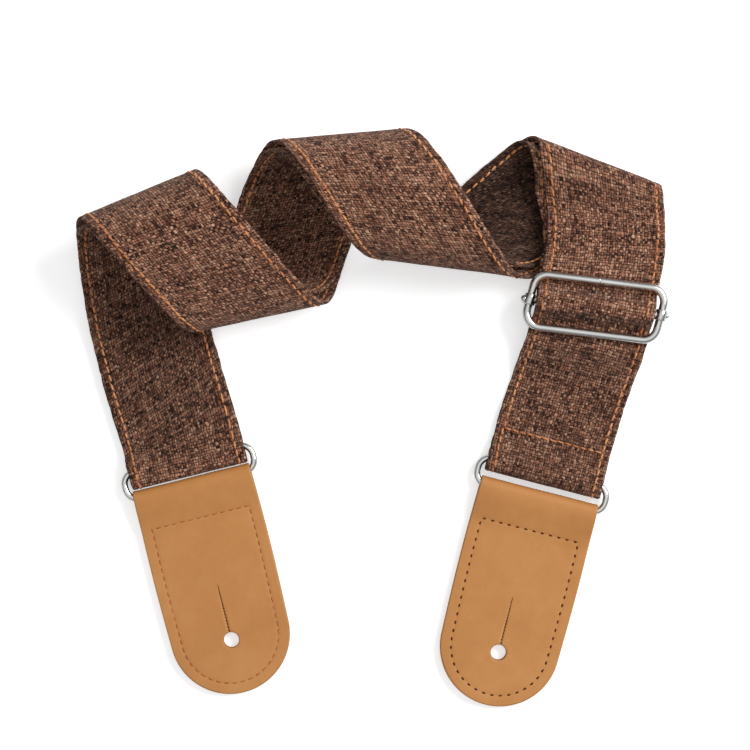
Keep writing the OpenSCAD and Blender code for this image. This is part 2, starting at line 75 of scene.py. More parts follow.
# place along the strap, total turn, half length of the bend, slant of its axis
CREST1 = (123, 181.7, 48, 16.8)
FOLD1 = (208, 155.6, 33, 30.5)
CREST2 = (298.5, 160.1, 48, 25.3)
FOLD2 = (383, 159.2, 50, 41.6)
CREST3 = (471.8, 215.7, 22, 33.3)
BENDS = [CREST1, FOLD1, CREST2, FOLD2, CREST3]
CREST3_AT = CREST3[0]
FOLD2_AT = FOLD2[0]
ARCHES = (7.7, 12.5, 6.8, 21.6, 13.2, -35.2)     # total turn of each stretch between bends
SWAYS = (-12.7, 0.5, -3.7, 1.4, -5.4, 18.5)      # total sideways turn of each stretch
BEND_GAPS = (1.2, 3.4, 1.4, 2.6, 1.4)            # extra gap between the runs at each bend
SWAY_RING = 3.5
SWAY_BAR = 2.3
SLANT_BEGIN = 22
SLANT_END = -16
PRESS_FOLD = 0.5         # how far the second fold is pressed down, and the stretch after it
PRESS_PASS = 0.95

LEAN = math.radians(14)  # of the left end
LEATHER_W = 51
LEATHER_BOW = 0.6        # how much the sides bulge
LEATHER_T = 1.9
HOLE_TO_RAIL = 68        # from the hole to the ring's near rail
TIP_CENTRE = 2.5         # centre of the round tip, up from the hole
HOLE_R = 3.25
SLIT_LEN = 24
STITCH_INSET = 4.7

RING_WIRE_R = 1.35
RING_PITCH = 11.4        # between the ring's rails
RING_LEN = 58.8
RING_CORNER = 5
RING_Z = 3.7

FRAME_WIRE_R = 1.7
BAR_R = 1.65
FRAME_PITCH = 22.4
FRAME_SPAN = 55.1
FRAME_CORNER = 6
FRAME_SKEW = 8
SLIDER_SHIFT = 2.2
SLIDER_ANGLE = math.radians(-7)
RISE = 5.4               # height of the stack under the slider

# Derived sizes
HALF_W = STRAP_W / 2
HALF_T = RUN_T / 2
TOTAL_LEN = BAR_AT + LOWER_LEN
STATIONS = int(math.floor(TOTAL_LEN / 3.4 + 0.5))
STEP = TOTAL_LEN / STATIONS
LAYER0 = 0.15 + HALF_T   # mid heights of three layers of strap, one on another
LAYER1 = LAYER0 + RUN_T + 0.1
LAYER2 = LAYER1 + RUN_T + 0.1
LEFT_SLACK = 4.0         # straight part of the fold round each ring
RIGHT_SLACK = 2.1
BIGHT_IN = 2.0           # inner radius of that fold
BIGHT_R = BIGHT_IN + HALF_T
BAR_Z = RISE + LAYER2 + HALF_T + 0.1 + FRAME_WIRE_R
LOOP_IN = BAR_R + 0.15   # inner radius of the loop round the bar
LOOP_R = LOOP_IN + HALF_T
RAIL_Y = HOLE_TO_RAIL + RING_PITCH      # the far rail, which the strap goes round
STOPS = [0] + [bend[0] for bend in BENDS] + [COIL_LEN]


def ease(t):
    t = np.clip(t, 0, 1)
    return t * t * (3 - 2 * t)


def mix(start, end, part):
    return start + (end - start) * part


def lookup(arc, knots):
    places, values = np.array(knots, float).T
    return np.interp(arc, places, values)


def unit(vector):
    return vector / (np.linalg.norm(vector, axis=-1, keepdims=True) + 1e-12)


def square_to(vector, axis):
    """The unit direction of the part of a vector that is square to a unit axis."""
    return unit(vector - axis * (vector * axis).sum(-1, keepdims=True))


# ------------------------------------------------------------------------------------------
# The line the strap follows. `arc` is the length along it from the left ring.
# ------------------------------------------------------------------------------------------
def hump(area, centre, half, arc):
    """A raised cosine with the given area."""
    t = (np.asarray(arc, float) - centre) / half
    return np.where(np.abs(t) < 1, area / half * (1 + np.cos(np.pi * t)) / 2, 0.0)


def stretch_humps(areas, arc):
    """One hump on each stretch between stops."""
    return sum(hump(area, (start + end) / 2, (end - start) / 2, arc)
               for area, start, end in zip(areas, STOPS, STOPS[1:]))


SLANT_KNOTS = [(0, 0), (12, SLANT_BEGIN), *[(bend[0], bend[3]) for bend in BENDS],
               (COIL_LEN - 12, SLANT_END), (COIL_LEN, 0)]
TAPS = np.arange(-5, 6)
TAP_WEIGHTS = 1 + np.cos(np.radians(30 * TAPS))


def slant(arc):
    """Slant of the bending axis: the knots, smoothed."""
    arc = np.asarray(arc, float)
    total = sum(weight * lookup(arc + 5 * tap, SLANT_KNOTS)
                for weight, tap in zip(TAP_WEIGHTS, TAPS))
    return ease(arc / 16) * total / TAP_WEIGHTS.sum()


def turn(arc):
    """Degrees of bend per mm."""
    bends = sum(hump(total, centre, half, arc) for centre, total, half, _ in BENDS)
    return bends + stretch_humps(ARCHES, arc)


def sway(arc):
    """Degrees of sideways turn per mm."""
    return (stretch_humps(SWAYS, arc) + hump(SWAY_BAR, COIL_LEN, 18, arc)
            + hump(SWAY_RING, 12, 12, arc))


def spin(vector, axis, angle):
    cos, sin = math.cos(angle), math.sin(angle)
    return vector * cos + np.cross(axis, vector) * sin + axis * np.dot(axis, vector) * (1 - cos)


def walk():
    """Positions, directions ahead and face directions at the stations."""
    ahead = np.array([-math.sin(LEAN), math.cos(LEAN), 0.0])
    face = np.array([0, 0, 1.0])
    side = np.cross(face, ahead)
    pos = RAIL_Y * ahead + np.array([0, 0, 1.95])
    rows = [(pos, ahead, face)]
    for i in range(STATIONS):
        arc = i * STEP
        slope = math.radians(float(slant(arc)))
        axis = math.sin(slope) * ahead - math.cos(slope) * side
        roll = math.radians(float(turn(arc)) * STEP)
        drift = math.radians(float(sway(arc)) * STEP)
        rolled_ahead, rolled_side = spin(ahead, axis, roll), spin(side, axis, roll)
        ahead = rolled_ahead * math.cos(drift) + rolled_side * math.sin(drift)
        side = rolled_side * math.cos(drift) - rolled_ahead * math.sin(drift)
        face = spin(face, axis, roll)
        pos = pos + ahead * STEP
        rows.append((pos, ahead, face))
    return [np.array(column) for column in zip(*rows)]


LINE_POS, LINE_AHEAD, LINE_FACE = walk()
PADDED = [np.vstack([2 * a[0] - a[1], a, 2 * a[-1] - a[-2]])
          for a in (LINE_POS, LINE_AHEAD, LINE_FACE)]


def between(padded, t):
    """Smooth curve through the stations."""
    i = np.clip(np.floor(t).astype(int), 0, STATIONS - 1)
    f = (t - i)[..., None]
    p0, p1, p2, p3 = padded[i], padded[i + 1], padded[i + 2], padded[i + 3]
    return 0.5 * (2 * p1 + (p2 - p0) * f + (2 * p0 - 5 * p1 + 4 * p2 - p3) * f * f
                  + (3 * p1 - p0 - 3 * p2 + p3) * f ** 3)


# Where the slider and the right end lie
bar_station = int(math.floor(BAR_AT / STEP))
BAR_POS = mix(LINE_POS[bar_station], LINE_POS[bar_station + 1], BAR_AT / STEP - bar_station)
SLIDER_X = np.array([math.cos(SLIDER_ANGLE), math.sin(SLIDER_ANGLE)])
DOWN = np.array([math.sin(SLIDER_ANGLE), -math.cos(SLIDER_ANGLE)])    # the slider's own -Y
SLIDER_POS = BAR_POS[:2] + (SLIDER_SHIFT + 0.4) * SLIDER_X
RIGHT_POS = LINE_POS[-1]
RIGHT_TURN = math.atan2(LINE_AHEAD[-1][1], LINE_AHEAD[-1][0]) + math.pi / 2


def placed(x, y, z, angle, origin):
    cos, sin = math.cos(angle), math.sin(angle)
    x, y, z = np.broadcast_arrays(x, y, z)
    return np.stack([origin[0] + x * cos - y * sin, origin[1] + x * sin + y * cos, z], -1)


def in_left(x, y, z):
    return placed(x, y, z, LEAN, (0, 0))


def in_right(x, y, z):
    return placed(x, y - RAIL_Y, z, RIGHT_TURN, RIGHT_POS)


def in_slider(x, y, z):
    return placed(x, y, z, SLIDER_ANGLE, SLIDER_POS)


# ------------------------------------------------------------------------------------------
# The two runs
# ------------------------------------------------------------------------------------------
MAIN_OFF = -(RUN_GAP + RUN_T) / 2


def return_off(arc):
    gaps = sum(hump(gap * bend[2], bend[0], bend[2], arc) for gap, bend in zip(BEND_GAPS, BENDS))
    return (RUN_GAP + RUN_T) / 2 + ease((22 - arc) / 20) * (2 * BIGHT_IN - RUN_GAP) + gaps


def main_z(drop):
    """Height of the first run where it passes over the slider; drop is the way past the bar."""
    over = BAR_Z + LOOP_IN + RUN_T + 0.6 + HALF_T - RISE - LAYER2
    level = np.where(drop < 0, RISE + LAYER2, mix(RISE + LAYER2, LAYER0, ease((drop - 13) / 22)))
    return level + 0.5 * ease((-drop - 22) / 10) + over * ease((8.1 - np.abs(drop)) / 6)


def press(arc, slider_x):
    """How far the second fold is pressed down where the slider's stretch lies on it."""
    return (ease((slider_x + 43) / 16)
            * mix(PRESS_FOLD, PRESS_PASS, ease((arc - FOLD2_AT) / 15))
            * ease((arc - FOLD2_AT + 50) / 25) * ease((455 - arc) / 20))


def bar_side(arc):
    """Sideways shift towards the slider."""
    return ((SLIDER_SHIFT * ease((arc - BAR_AT + 60) / 48) + 0.5 * ease((arc - BAR_AT) / 10))
            * ease((BAR_AT + 64 - arc) / 54))


# sideways shift of the return run: place along, shift
RETURN_SIDE = [
    (0, 0), (CREST1[0], 0.4), (FOLD1[0], 0.6), (CREST2[0], 1.2), (FOLD2_AT - 30, 1.6),
    (FOLD2_AT, 1), (CREST3_AT - 30, 0.8), (CREST3_AT, 0.5 * RETURN_OFFSET),
    (CREST3_AT + 20, RETURN_OFFSET), (BAR_AT - 48, RETURN_OFFSET), (BAR_AT - 22, 0.2),
    (BAR_AT, 0.2)]


def coil_point(arc, across, out, returning):
    """Points of either run, out being measured along the line's face direction."""
    arc, across, out = np.broadcast_arrays(np.asarray(arc, float), across, out)
    pos, ahead, face = [between(padded, arc / STEP) for padded in PADDED]
    ahead = unit(ahead)
    face = square_to(face, ahead)
    side = np.cross(face, ahead)
    slope = np.radians(slant(arc))
    axis = np.sin(slope)[..., None] * ahead - np.cos(slope)[..., None] * side
    shift = across + (lookup(arc, RETURN_SIDE) if returning else 0) - bar_side(arc)
    base = return_off(arc) if returning else MAIN_OFF
    flat = pos - axis * (shift / np.cos(slope))[..., None]
    slider_x = (flat[..., :2] - BAR_POS[:2]) @ SLIDER_X
    flat[..., 2] -= np.maximum(0, flat[..., 2] - 2) * press(arc, slider_x)
    point = flat + face * (base + out)[..., None]
    # near the slider the runs lie flat at set heights
    drop = (point[..., :2] - BAR_POS[:2]) @ DOWN
    settled = ease((arc - CREST3_AT) / 12) * ease((drop + 54) / 20)
    upward = np.where(arc > (CREST3_AT + FOLD2_AT) / 2, -1, 1)
    level = (RISE + LAYER1 if returning else main_z(drop)) + out * upward
    # elsewhere the lowest face is kept off the floor
    low = (flat - face * (RUN_GAP / 2 + RUN_T + SEAM_PROUD))[..., 2]
    rest = np.where((face[..., 2] > 0) & (arc < BAR_AT - 60), np.maximum(0, 0.1 - low), 0)
    point[..., 2] = mix(point[..., 2], level, settled) + rest
    return point


# ------------------------------------------------------------------------------------------
# The whole strap as one strip. `dist` is the length along it, from the hem at the right ring,
# back along the first run, round the left ring and along the return run to the tail. `across`
# is the way to the strap's left and `out` is outward from the middle of its thickness.
# Each segment function takes `local`, the length within its segment.
# ------------------------------------------------------------------------------------------
HEM = 18.0
TAIL = 18.0
JOIN = 4.0
ARC = math.pi * BIGHT_R
LOW_END = math.ceil((BAR_AT + 36) / STEP) * STEP
TAIL_FROM = math.floor((BAR_AT - 22) / STEP) * STEP


def hem(local, across, out):
    y = HEM - local
    middle = mix(RING_Z - BIGHT_R, LAYER0, ease(y / 12))
    return in_right(-across, RAIL_Y + y, middle - out)


def ring_fold(name, length, in_end, slack):
    """The segments under, round and back over a ring's rail."""
    def under(local, across, out):
        return in_end(-across, RAIL_Y - local, RING_Z - BIGHT_R - out)

    def bight(local, across, out):
        angle = -math.pi / 2 + local / BIGHT_R
        return in_end(-across, RAIL_Y - slack - (BIGHT_R + out) * np.cos(angle),
                      RING_Z + (BIGHT_R + out) * np.sin(angle))

    def over(local, across, out):
        return in_end(-across, RAIL_Y - slack + local, RING_Z + BIGHT_R + out)

    return [(name + "_under", slack, under), (name + "_arc", length, bight),
            (name + "_over", slack, over)]


def lower(local, across, out):
    lift = np.where(local < 21, mix(RING_Z + BIGHT_R, LAYER1, ease(local / 12)),
                    mix(LAYER1, LAYER0, ease((local - 21) / 7)))
    return in_right(bar_side(TOTAL_LEN - local) - across, RAIL_Y + local, lift + out)


def main_run(local, across, out):
    return coil_point(LOW_END - local, across, -out, False)


def return_run(local, across, out):
    return coil_point(local, across, out, True)


def tail_top(local, across, out):
    y = TAIL - local
    middle = mix(RISE + LAYER1, BAR_Z + LOOP_R, ease((8.3 - y) / 8))
    return in_slider(-across, y, middle + out)


def join(local, across, out):
    start = coil_point(TAIL_FROM, across, out, True)
    end = tail_top(0 * local, across, out)
    return mix(start, end, (local / JOIN)[..., None])


def tail_bight(local, across, out):
    angle = math.pi / 2 - local / LOOP_R
    return in_slider(-across, -(LOOP_R + out) * np.cos(angle),
                     BAR_Z + (LOOP_R + out) * np.sin(angle))


def tail_under(local, across, out):
    middle = mix(RISE + LAYER0, BAR_Z - LOOP_R, ease((8.3 - local) / 8))
    return in_slider(-across, local, middle - out)


# name, length, point function
SEGMENTS = [
    ("hem", HEM, hem),
    *ring_fold("right", ARC, in_right, RIGHT_SLACK),
    ("lower", TOTAL_LEN - LOW_END, lower),
    ("main", LOW_END, main_run),
    *ring_fold("left", ARC, in_left, LEFT_SLACK),
    ("return", TAIL_FROM, return_run),
    ("join", JOIN, join),
    ("tail_top", TAIL, tail_top),
    ("tail_arc", math.pi * LOOP_R, tail_bight),
    ("tail_under", 17.5, tail_under),
]
STARTS = np.concatenate([[0], np.cumsum([length for _, length, _ in SEGMENTS])])
START = {segment[0]: start for segment, start in zip(SEGMENTS, STARTS)}
END = STARTS[-1]


def main_dist(arc):
    return START["main"] + (LOW_END - arc)


def return_dist(arc):
    return START["return"] + arc


def segment_at(dist):
    return np.clip(np.searchsorted(STARTS, dist, side="right") - 1, 0, len(SEGMENTS) - 1)


def strip_point(dist, across, out):
    dist, across, out = np.broadcast_arrays(dist, across, out)
    points = np.zeros(dist.shape + (3,))
    owner = segment_at(dist)
    for i, (_, length, point) in enumerate(SEGMENTS):
        mine = owner == i
        if mine.any():
            local = np.clip(dist[mine] - STARTS[i], 0, length)
            points[mine] = point(local, across[mine], out[mine])
    return points


# ------------------------------------------------------------------------------------------
# Noise
# ------------------------------------------------------------------------------------------
def noise1(x, seed):
    table = np.random.RandomState(seed).uniform(-1, 1, 4096)
    i = np.floor(x).astype(int)
    part = ease(x - i)
    return table[i % 4096] * (1 - part) + table[(i + 1) % 4096] * part


def noise2(x, y, seed):
    table = np.random.RandomState(seed).uniform(-1, 1, (128, 128))
    i, j = np.floor(x).astype(int), np.floor(y).astype(int)
    part_x, part_y = ease(x - i), ease(y - j)

    def row(k):
        return table[i % 128, k % 128] * (1 - part_x) + table[(i + 1) % 128, k % 128] * part_x

    return row(j) * (1 - part_y) + row(j + 1) * part_y


# ------------------------------------------------------------------------------------------
# Meshes
# ------------------------------------------------------------------------------------------
def make_mesh(name, verts, faces, uvs=None):
    """A smooth mesh from points in mm. uvs holds one (u, v) per face corner."""
    mesh = bpy.data.meshes.new(name)
    mesh.from_pydata((verts * MM).tolist(), [], faces)
    if uvs is not None:
        layer = mesh.uv_layers.new(name="cloth")
        layer.data.foreach_set("uv", np.asarray(uvs, np.float32).ravel())
    edit = bmesh.new()
    edit.from_mesh(mesh)
    bmesh.ops.recalc_face_normals(edit, faces=edit.faces)
    edit.to_mesh(mesh)
    edit.free()
    mesh.polygons.foreach_set("use_smooth", [True] * len(mesh.polygons))
    mesh.update()
    ob = bpy.data.objects.new(name, mesh)
    bpy.context.scene.collection.objects.link(ob)
    return ob


def sharpen(ob, angle):
    """Marks edges sharper than the angle, so that flat and round faces keep their own shading."""
    edit = bmesh.new()
    edit.from_mesh(ob.data)
    for edge in edit.edges:
        if len(edge.link_faces) == 2 and edge.calc_face_angle(0) > math.radians(angle):
            edge.smooth = False
    edit.to_mesh(ob.data)
    edit.free()


def quads(index, closed=False):
    """Faces between neighbouring rings of points; index is (..., rings, points in a ring)."""
    after = np.roll(index, -1, -2)
    if not closed:
        index, after = index[..., :-1, :], after[..., :-1, :]
    faces = np.stack([index, np.roll(index, -1, -1), np.roll(after, -1, -1), after], -1)
    return faces.reshape(-1, 4).tolist()


def tubes(name, centre, normal, radius, squash, taper):
    """Many short tubes at once. centre and normal are (n, k, 3), taper (k,) scales the radius."""
    sides = 7
    count, rings, _ = centre.shape
    tangent = unit(np.gradient(centre, axis=1))
    normal = square_to(normal, tangent)
    side = np.cross(tangent, normal)
    angle = (2 * np.pi * np.arange(sides) / sides)[:, None]
    radii = radius * np.array(taper)[None, :, None, None]
    points = centre[:, :, None] + radii * (np.cos(angle) * normal[:, :, None] * squash
                                           + np.sin(angle) * side[:, :, None])
    index = np.arange(count * rings * sides).reshape(count, rings, sides)
    faces = quads(index) + index[:, 0, ::-1].tolist() + index[:, -1, :].tolist()
    return make_mesh(name, points.reshape(-1, 3), faces)


# ------------------------------------------------------------------------------------------
# Cloth ribbon and its stitches
# ------------------------------------------------------------------------------------------
# distances from the edge of the points across half the strap
EDGE_STEPS = np.array([0.0, 0.1, 0.32, 0.7, 1.3, 2.0, 2.7, 3.15, 3.5, 3.85, 4.4, 5.4, 7.0, 9.5,
                       12.5, 16.0, 19.5, 22.5])
TOP = np.concatenate([EDGE_STEPS - HALF_W, [0.0], (HALF_W - EDGE_STEPS)[::-1]])
TOP_COUNT = len(TOP)
STITCH = 3.45            # pitch of the edge seams


def half_thick(inset, dist):
    """Half thickness: a rounded edge, and a groove along the seam that dips at each stitch."""
    edge = 0.80 * np.sqrt(np.maximum(0, 1 - (1 - inset / 0.85) ** 2))
    groove = 0.17 + 0.09 * np.cos(2 * np.pi * dist / STITCH)
    return (np.where(inset < 0.85, edge, 0.80)
            - groove * np.exp(-((inset - SEAM_INSET) / 0.75) ** 2))


def rows_between(start, end):
    """Row positions, finer where the strip turns tightly."""
    rows = [start]
    while rows[-1] < end - 1e-6:
        tight = SEGMENTS[int(segment_at(rows[-1] + 1e-6))][0].endswith("_arc")
        step = 0.45 if tight else 0.8
        following = min(rows[-1] + step, end)
        if end - following < 0.3 * step:
            following = end
        rows.append(following)
    return np.array(rows)


def ribbon(name, start, end):
    """A closed length of the strip, with its running width and length as UVs."""
    dist = rows_between(start, end)
    rows = len(dist)
    profile = np.concatenate([TOP, TOP[::-1][1:-1]])
    columns = len(profile)
    face = np.where(np.arange(columns) < TOP_COUNT, 1.0, -1.0)
    along, across = np.meshgrid(dist, profile, indexing="ij")
    inset = HALF_W - np.abs(across)

    # slightly uneven edges and cloth
    left_edge = 0.20 * noise1(along / 6.0, 11) + 0.13 * noise1(along / 1.9, 12)
    right_edge = 0.20 * noise1(along / 6.5, 13) + 0.13 * noise1(along / 2.1, 14)
    edge = left_edge * (across > 0) + right_edge * (across < 0)
    uneven = across + np.sign(across) * (edge - 0.12) * np.clip(1 - inset / 6.0, 0, 1)
    out = (face * half_thick(inset, along) * (1 + 0.05 * noise2(along / 7, across / 5, 21))
           + 0.07 * noise2(along / 11, across / 9, 22)
           + face * 0.03 * noise2(along / 2.3, across / 2.3, 23))
    verts = strip_point(along, uneven, out).reshape(-1, 3)

    index = np.arange(rows * columns).reshape(rows, columns)
    faces = quads(index)
    width = np.concatenate([TOP + HALF_W, 3 * HALF_W - TOP[::-1][1:-1], [4 * HALF_W]])
    corners = [(width[:-1], dist[:-1]), (width[1:], dist[:-1]),
               (width[1:], dist[1:]), (width[:-1], dist[1:])]
    uvs = np.stack([np.stack(np.meshgrid(*corner), -1) for corner in corners], 2).reshape(-1, 2)

    # closed ends, on their own points so the sides keep their shading
    end_points, end_uvs = [], []
    under = [0, *range(columns - 1, TOP_COUNT - 1, -1), TOP_COUNT - 1]
    for order, row in enumerate((0, rows - 1)):
        base = len(verts) + order * columns
        end_points.append(verts[index[row]])
        for k in range(TOP_COUNT - 1):
            loop = [k, k + 1, under[k + 1], under[k]]
            loop = [x for i, x in enumerate(loop) if x != loop[i - 1]]
            faces.append([base + x for x in loop])
            end_uvs += [(width[x], dist[row] + (0.6 if x < TOP_COUNT else -0.6)) for x in loop]
    return make_mesh(name, np.concatenate([verts] + end_points), faces,
                     np.concatenate([uvs, np.array(end_uvs)]))


TAU = np.linspace(-1, 1, 7)      # along one stitch


def strip_stitches(name, dist, across, out, radius):
    """Stitches along lines given on the strip."""
    points = strip_point(dist, across, out)
    outward = strip_point(dist, across, out + 0.2 * np.sign(out)) - points
    return tubes(name, points, outward, radius, squash=0.85,
                 taper=[0.55, 0.9, 1, 1, 1, 0.9, 0.55])


def edge_stitches(name, start, end, skips):
    """The seams along both edges, on both faces. skips holds (from, to, face) to leave out."""
    lines = []
    first, last = math.ceil((start + 0.1) / STITCH), math.floor((end - 0.1) / STITCH)
    random = np.random.RandomState(int(start) + 5)
    for side in (-1, 1):
        for face in (-1, 1):
            centre = np.arange(first, last + 1) * STITCH + STITCH / 2
            keep = (centre - 1.65 > start) & (centre + 1.65 < end)
            for skip_from, skip_to, skip_face in skips:
                if skip_face == face:
                    keep &= ~((centre > skip_from) & (centre < skip_to))
            centre = centre[keep][:, None]
            dist = centre + TAU * (1.46 + 0.08 * random.uniform(-1, 1, centre.shape))
            across = (side * (HALF_W - SEAM_INSET) + 0.16 * noise1(centre / 5, 31 + side)
                      + 0.10 * random.uniform(-1, 1, centre.shape) + 0.12 * TAU * side)
            out = face * (half_thick(SEAM_INSET, dist) + 0.34 * (1 - TAU ** 4) - 0.24)
            lines.append((dist, across, out))
    return strip_stitches(name, *[np.concatenate(column) for column in zip(*lines)], radius=0.44)


def cross_stitches(name, dist):
    """A row of stitches across the strip's outer face."""
    count, pitch = 13, 3.3
    random = np.random.RandomState(3)
    across = ((np.arange(count) - (count - 1) / 2) * pitch)[:, None] + TAU * 1.4
    dist = dist + 0.12 * random.uniform(-1, 1, (count, 1)) + 0.15 * TAU
    out = 0.62 + 0.28 * (1 - TAU ** 4)
    return strip_stitches(name, dist, across, out, radius=0.38)


# ------------------------------------------------------------------------------------------
# Shader helpers
# ------------------------------------------------------------------------------------------
def srgb(*levels):
    """Linear colour from 0-255 levels."""
    levels = [level / 255 for level in levels]
    return tuple([x / 12.92 if x <= 0.04045 else ((x + 0.055) / 1.055) ** 2.4
                  for x in levels] + [1.0])


class Signal:
    """A shader socket. Arithmetic on it adds Math nodes."""

    def __init__(self, shader, socket):
        self.shader = shader
        self.socket = socket

    def math(self, operation, *others):
        return self.shader.math(operation, self, *others)

    def clamped(self):
        self.socket.node.use_clamp = True
        return self

    def __add__(self, other):
        return self.math("ADD", other)

    def __radd__(self, other):
        return self.shader.math("ADD", other, self)

    def __sub__(self, other):
        return self.math("SUBTRACT", other)

    def __rsub__(self, other):
        return self.shader.math("SUBTRACT", other, self)

    def __mul__(self, other):
        return self.math("MULTIPLY", other)

    def __truediv__(self, other):
        return self.math("DIVIDE", other)

    def __pow__(self, other):
        return self.math("POWER", other)

    def __abs__(self):
        return self.math("ABSOLUTE")


class Shader:
    """The node tree of a material or world, emptied and built up through short calls."""

    def __init__(self, owner):
        owner.use_nodes = True
        self.owner = owner
        self.tree = owner.node_tree
        self.tree.nodes.clear()

    def new(self, kind, inputs, **settings):
        node = self.tree.nodes.new("ShaderNode" + kind)
        for name, value in settings.items():
            setattr(node, name, value)
        for key, value in inputs.items():
            if isinstance(value, Signal):
                self.tree.links.new(value.socket, node.inputs[key])
            elif value is not None:
                node.inputs[key].default_value = value
        return node

    def signal(self, kind, inputs, output=0, **settings):
        return Signal(self, self.new(kind, inputs, **settings).outputs[output])

    def math(self, operation, *values):
        return self.signal("Math", dict(enumerate(values)), operation=operation)

    def mix_colour(self, factor, first, second, mode="MIX"):
        return self.signal("Mix", {0: factor, 6: first, 7: second}, output=2,
                           data_type="RGBA", blend_type=mode)

    def mix_value(self, factor, first, second):
        return self.signal("Mix", {0: factor, 2: first, 3: second}, data_type="FLOAT")

    def vector(self, x, y, z=0.0):
        return self.signal("CombineXYZ", {0: x, 1: y, 2: z})

    def split(self, vector):
        return [Signal(self, out) for out in self.new("SeparateXYZ", {0: vector}).outputs]

    def white(self, x, y):
        return self.signal("TexWhiteNoise", {"Vector": self.vector(x, y)}, output="Value",
                           noise_dimensions="2D")

    def noise(self, vector, scale, detail=2.0, rough=0.5):
        return self.signal("TexNoise", {"Vector": vector, "Scale": scale, "Detail": detail,
                                        "Roughness": rough}, output="Fac")

    def voronoi(self, vector, scale):
        return self.signal("TexVoronoi", {"Vector": vector, "Scale": scale}, output="Distance")

    def ramp(self, factor, *stops):
        """stops are (position, colour), rising."""
        node = self.new("ValToRGB", {0: factor})
        elements = node.color_ramp.elements
        while len(elements) < len(stops):
            elements.new(0.5)
        for element, (position, colour) in zip(elements, stops):
            element.position = position
            element.color = colour
        return Signal(self, node.outputs[0])

    def bump(self, height, distance, strength, normal=None):
        return self.signal("Bump", {"Strength": strength, "Distance": distance,
                                    "Height": height, "Normal": normal})

    def coords(self, output="Object"):
        return self.signal("TexCoord", {}, output=output)

    def surface(self, **inputs):
        """Ends the tree in a Principled surface and returns the material."""
        named = {name.replace("_", " "): value for name, value in inputs.items()}
        self.new("OutputMaterial", {0: self.signal("BsdfPrincipled", named)})
        return self.owner


def new_shader(name):
    return Shader(bpy.data.materials.new(name))


# ------------------------------------------------------------------------------------------
# Materials
# ------------------------------------------------------------------------------------------
YARN_ACROSS = 1.12       # between neighbouring yarns
YARN_ALONG = 1.20

# painted shade on the cloth: length along the strip, brightness factor. Darkest inside the last
# coil where it lies in shade, also darkened under the first coil and inside the second; the hem and
# lower strap a little.
PAINTED_SHADE = [
    (0, 0.76), (START["main"], 0.78), (main_dist(BAR_AT + 14), 0.92), (main_dist(BAR_AT), 1.0),
    (return_dist(-2), 1.0), (return_dist(2), 0.80), (return_dist(30), 0.62),
    (return_dist(62), 0.62), (return_dist(100), 0.85), (return_dist(125), 1.0),
    (return_dist(205), 1.0), (return_dist(240), 0.88), (return_dist(290), 0.85),
    (return_dist(335), 0.9), (return_dist(385), 0.5), (return_dist(405), 0.26),
    (return_dist(455), 0.24), (return_dist(470), 0.55), (return_dist(478), 1.0), (END, 1.0)]


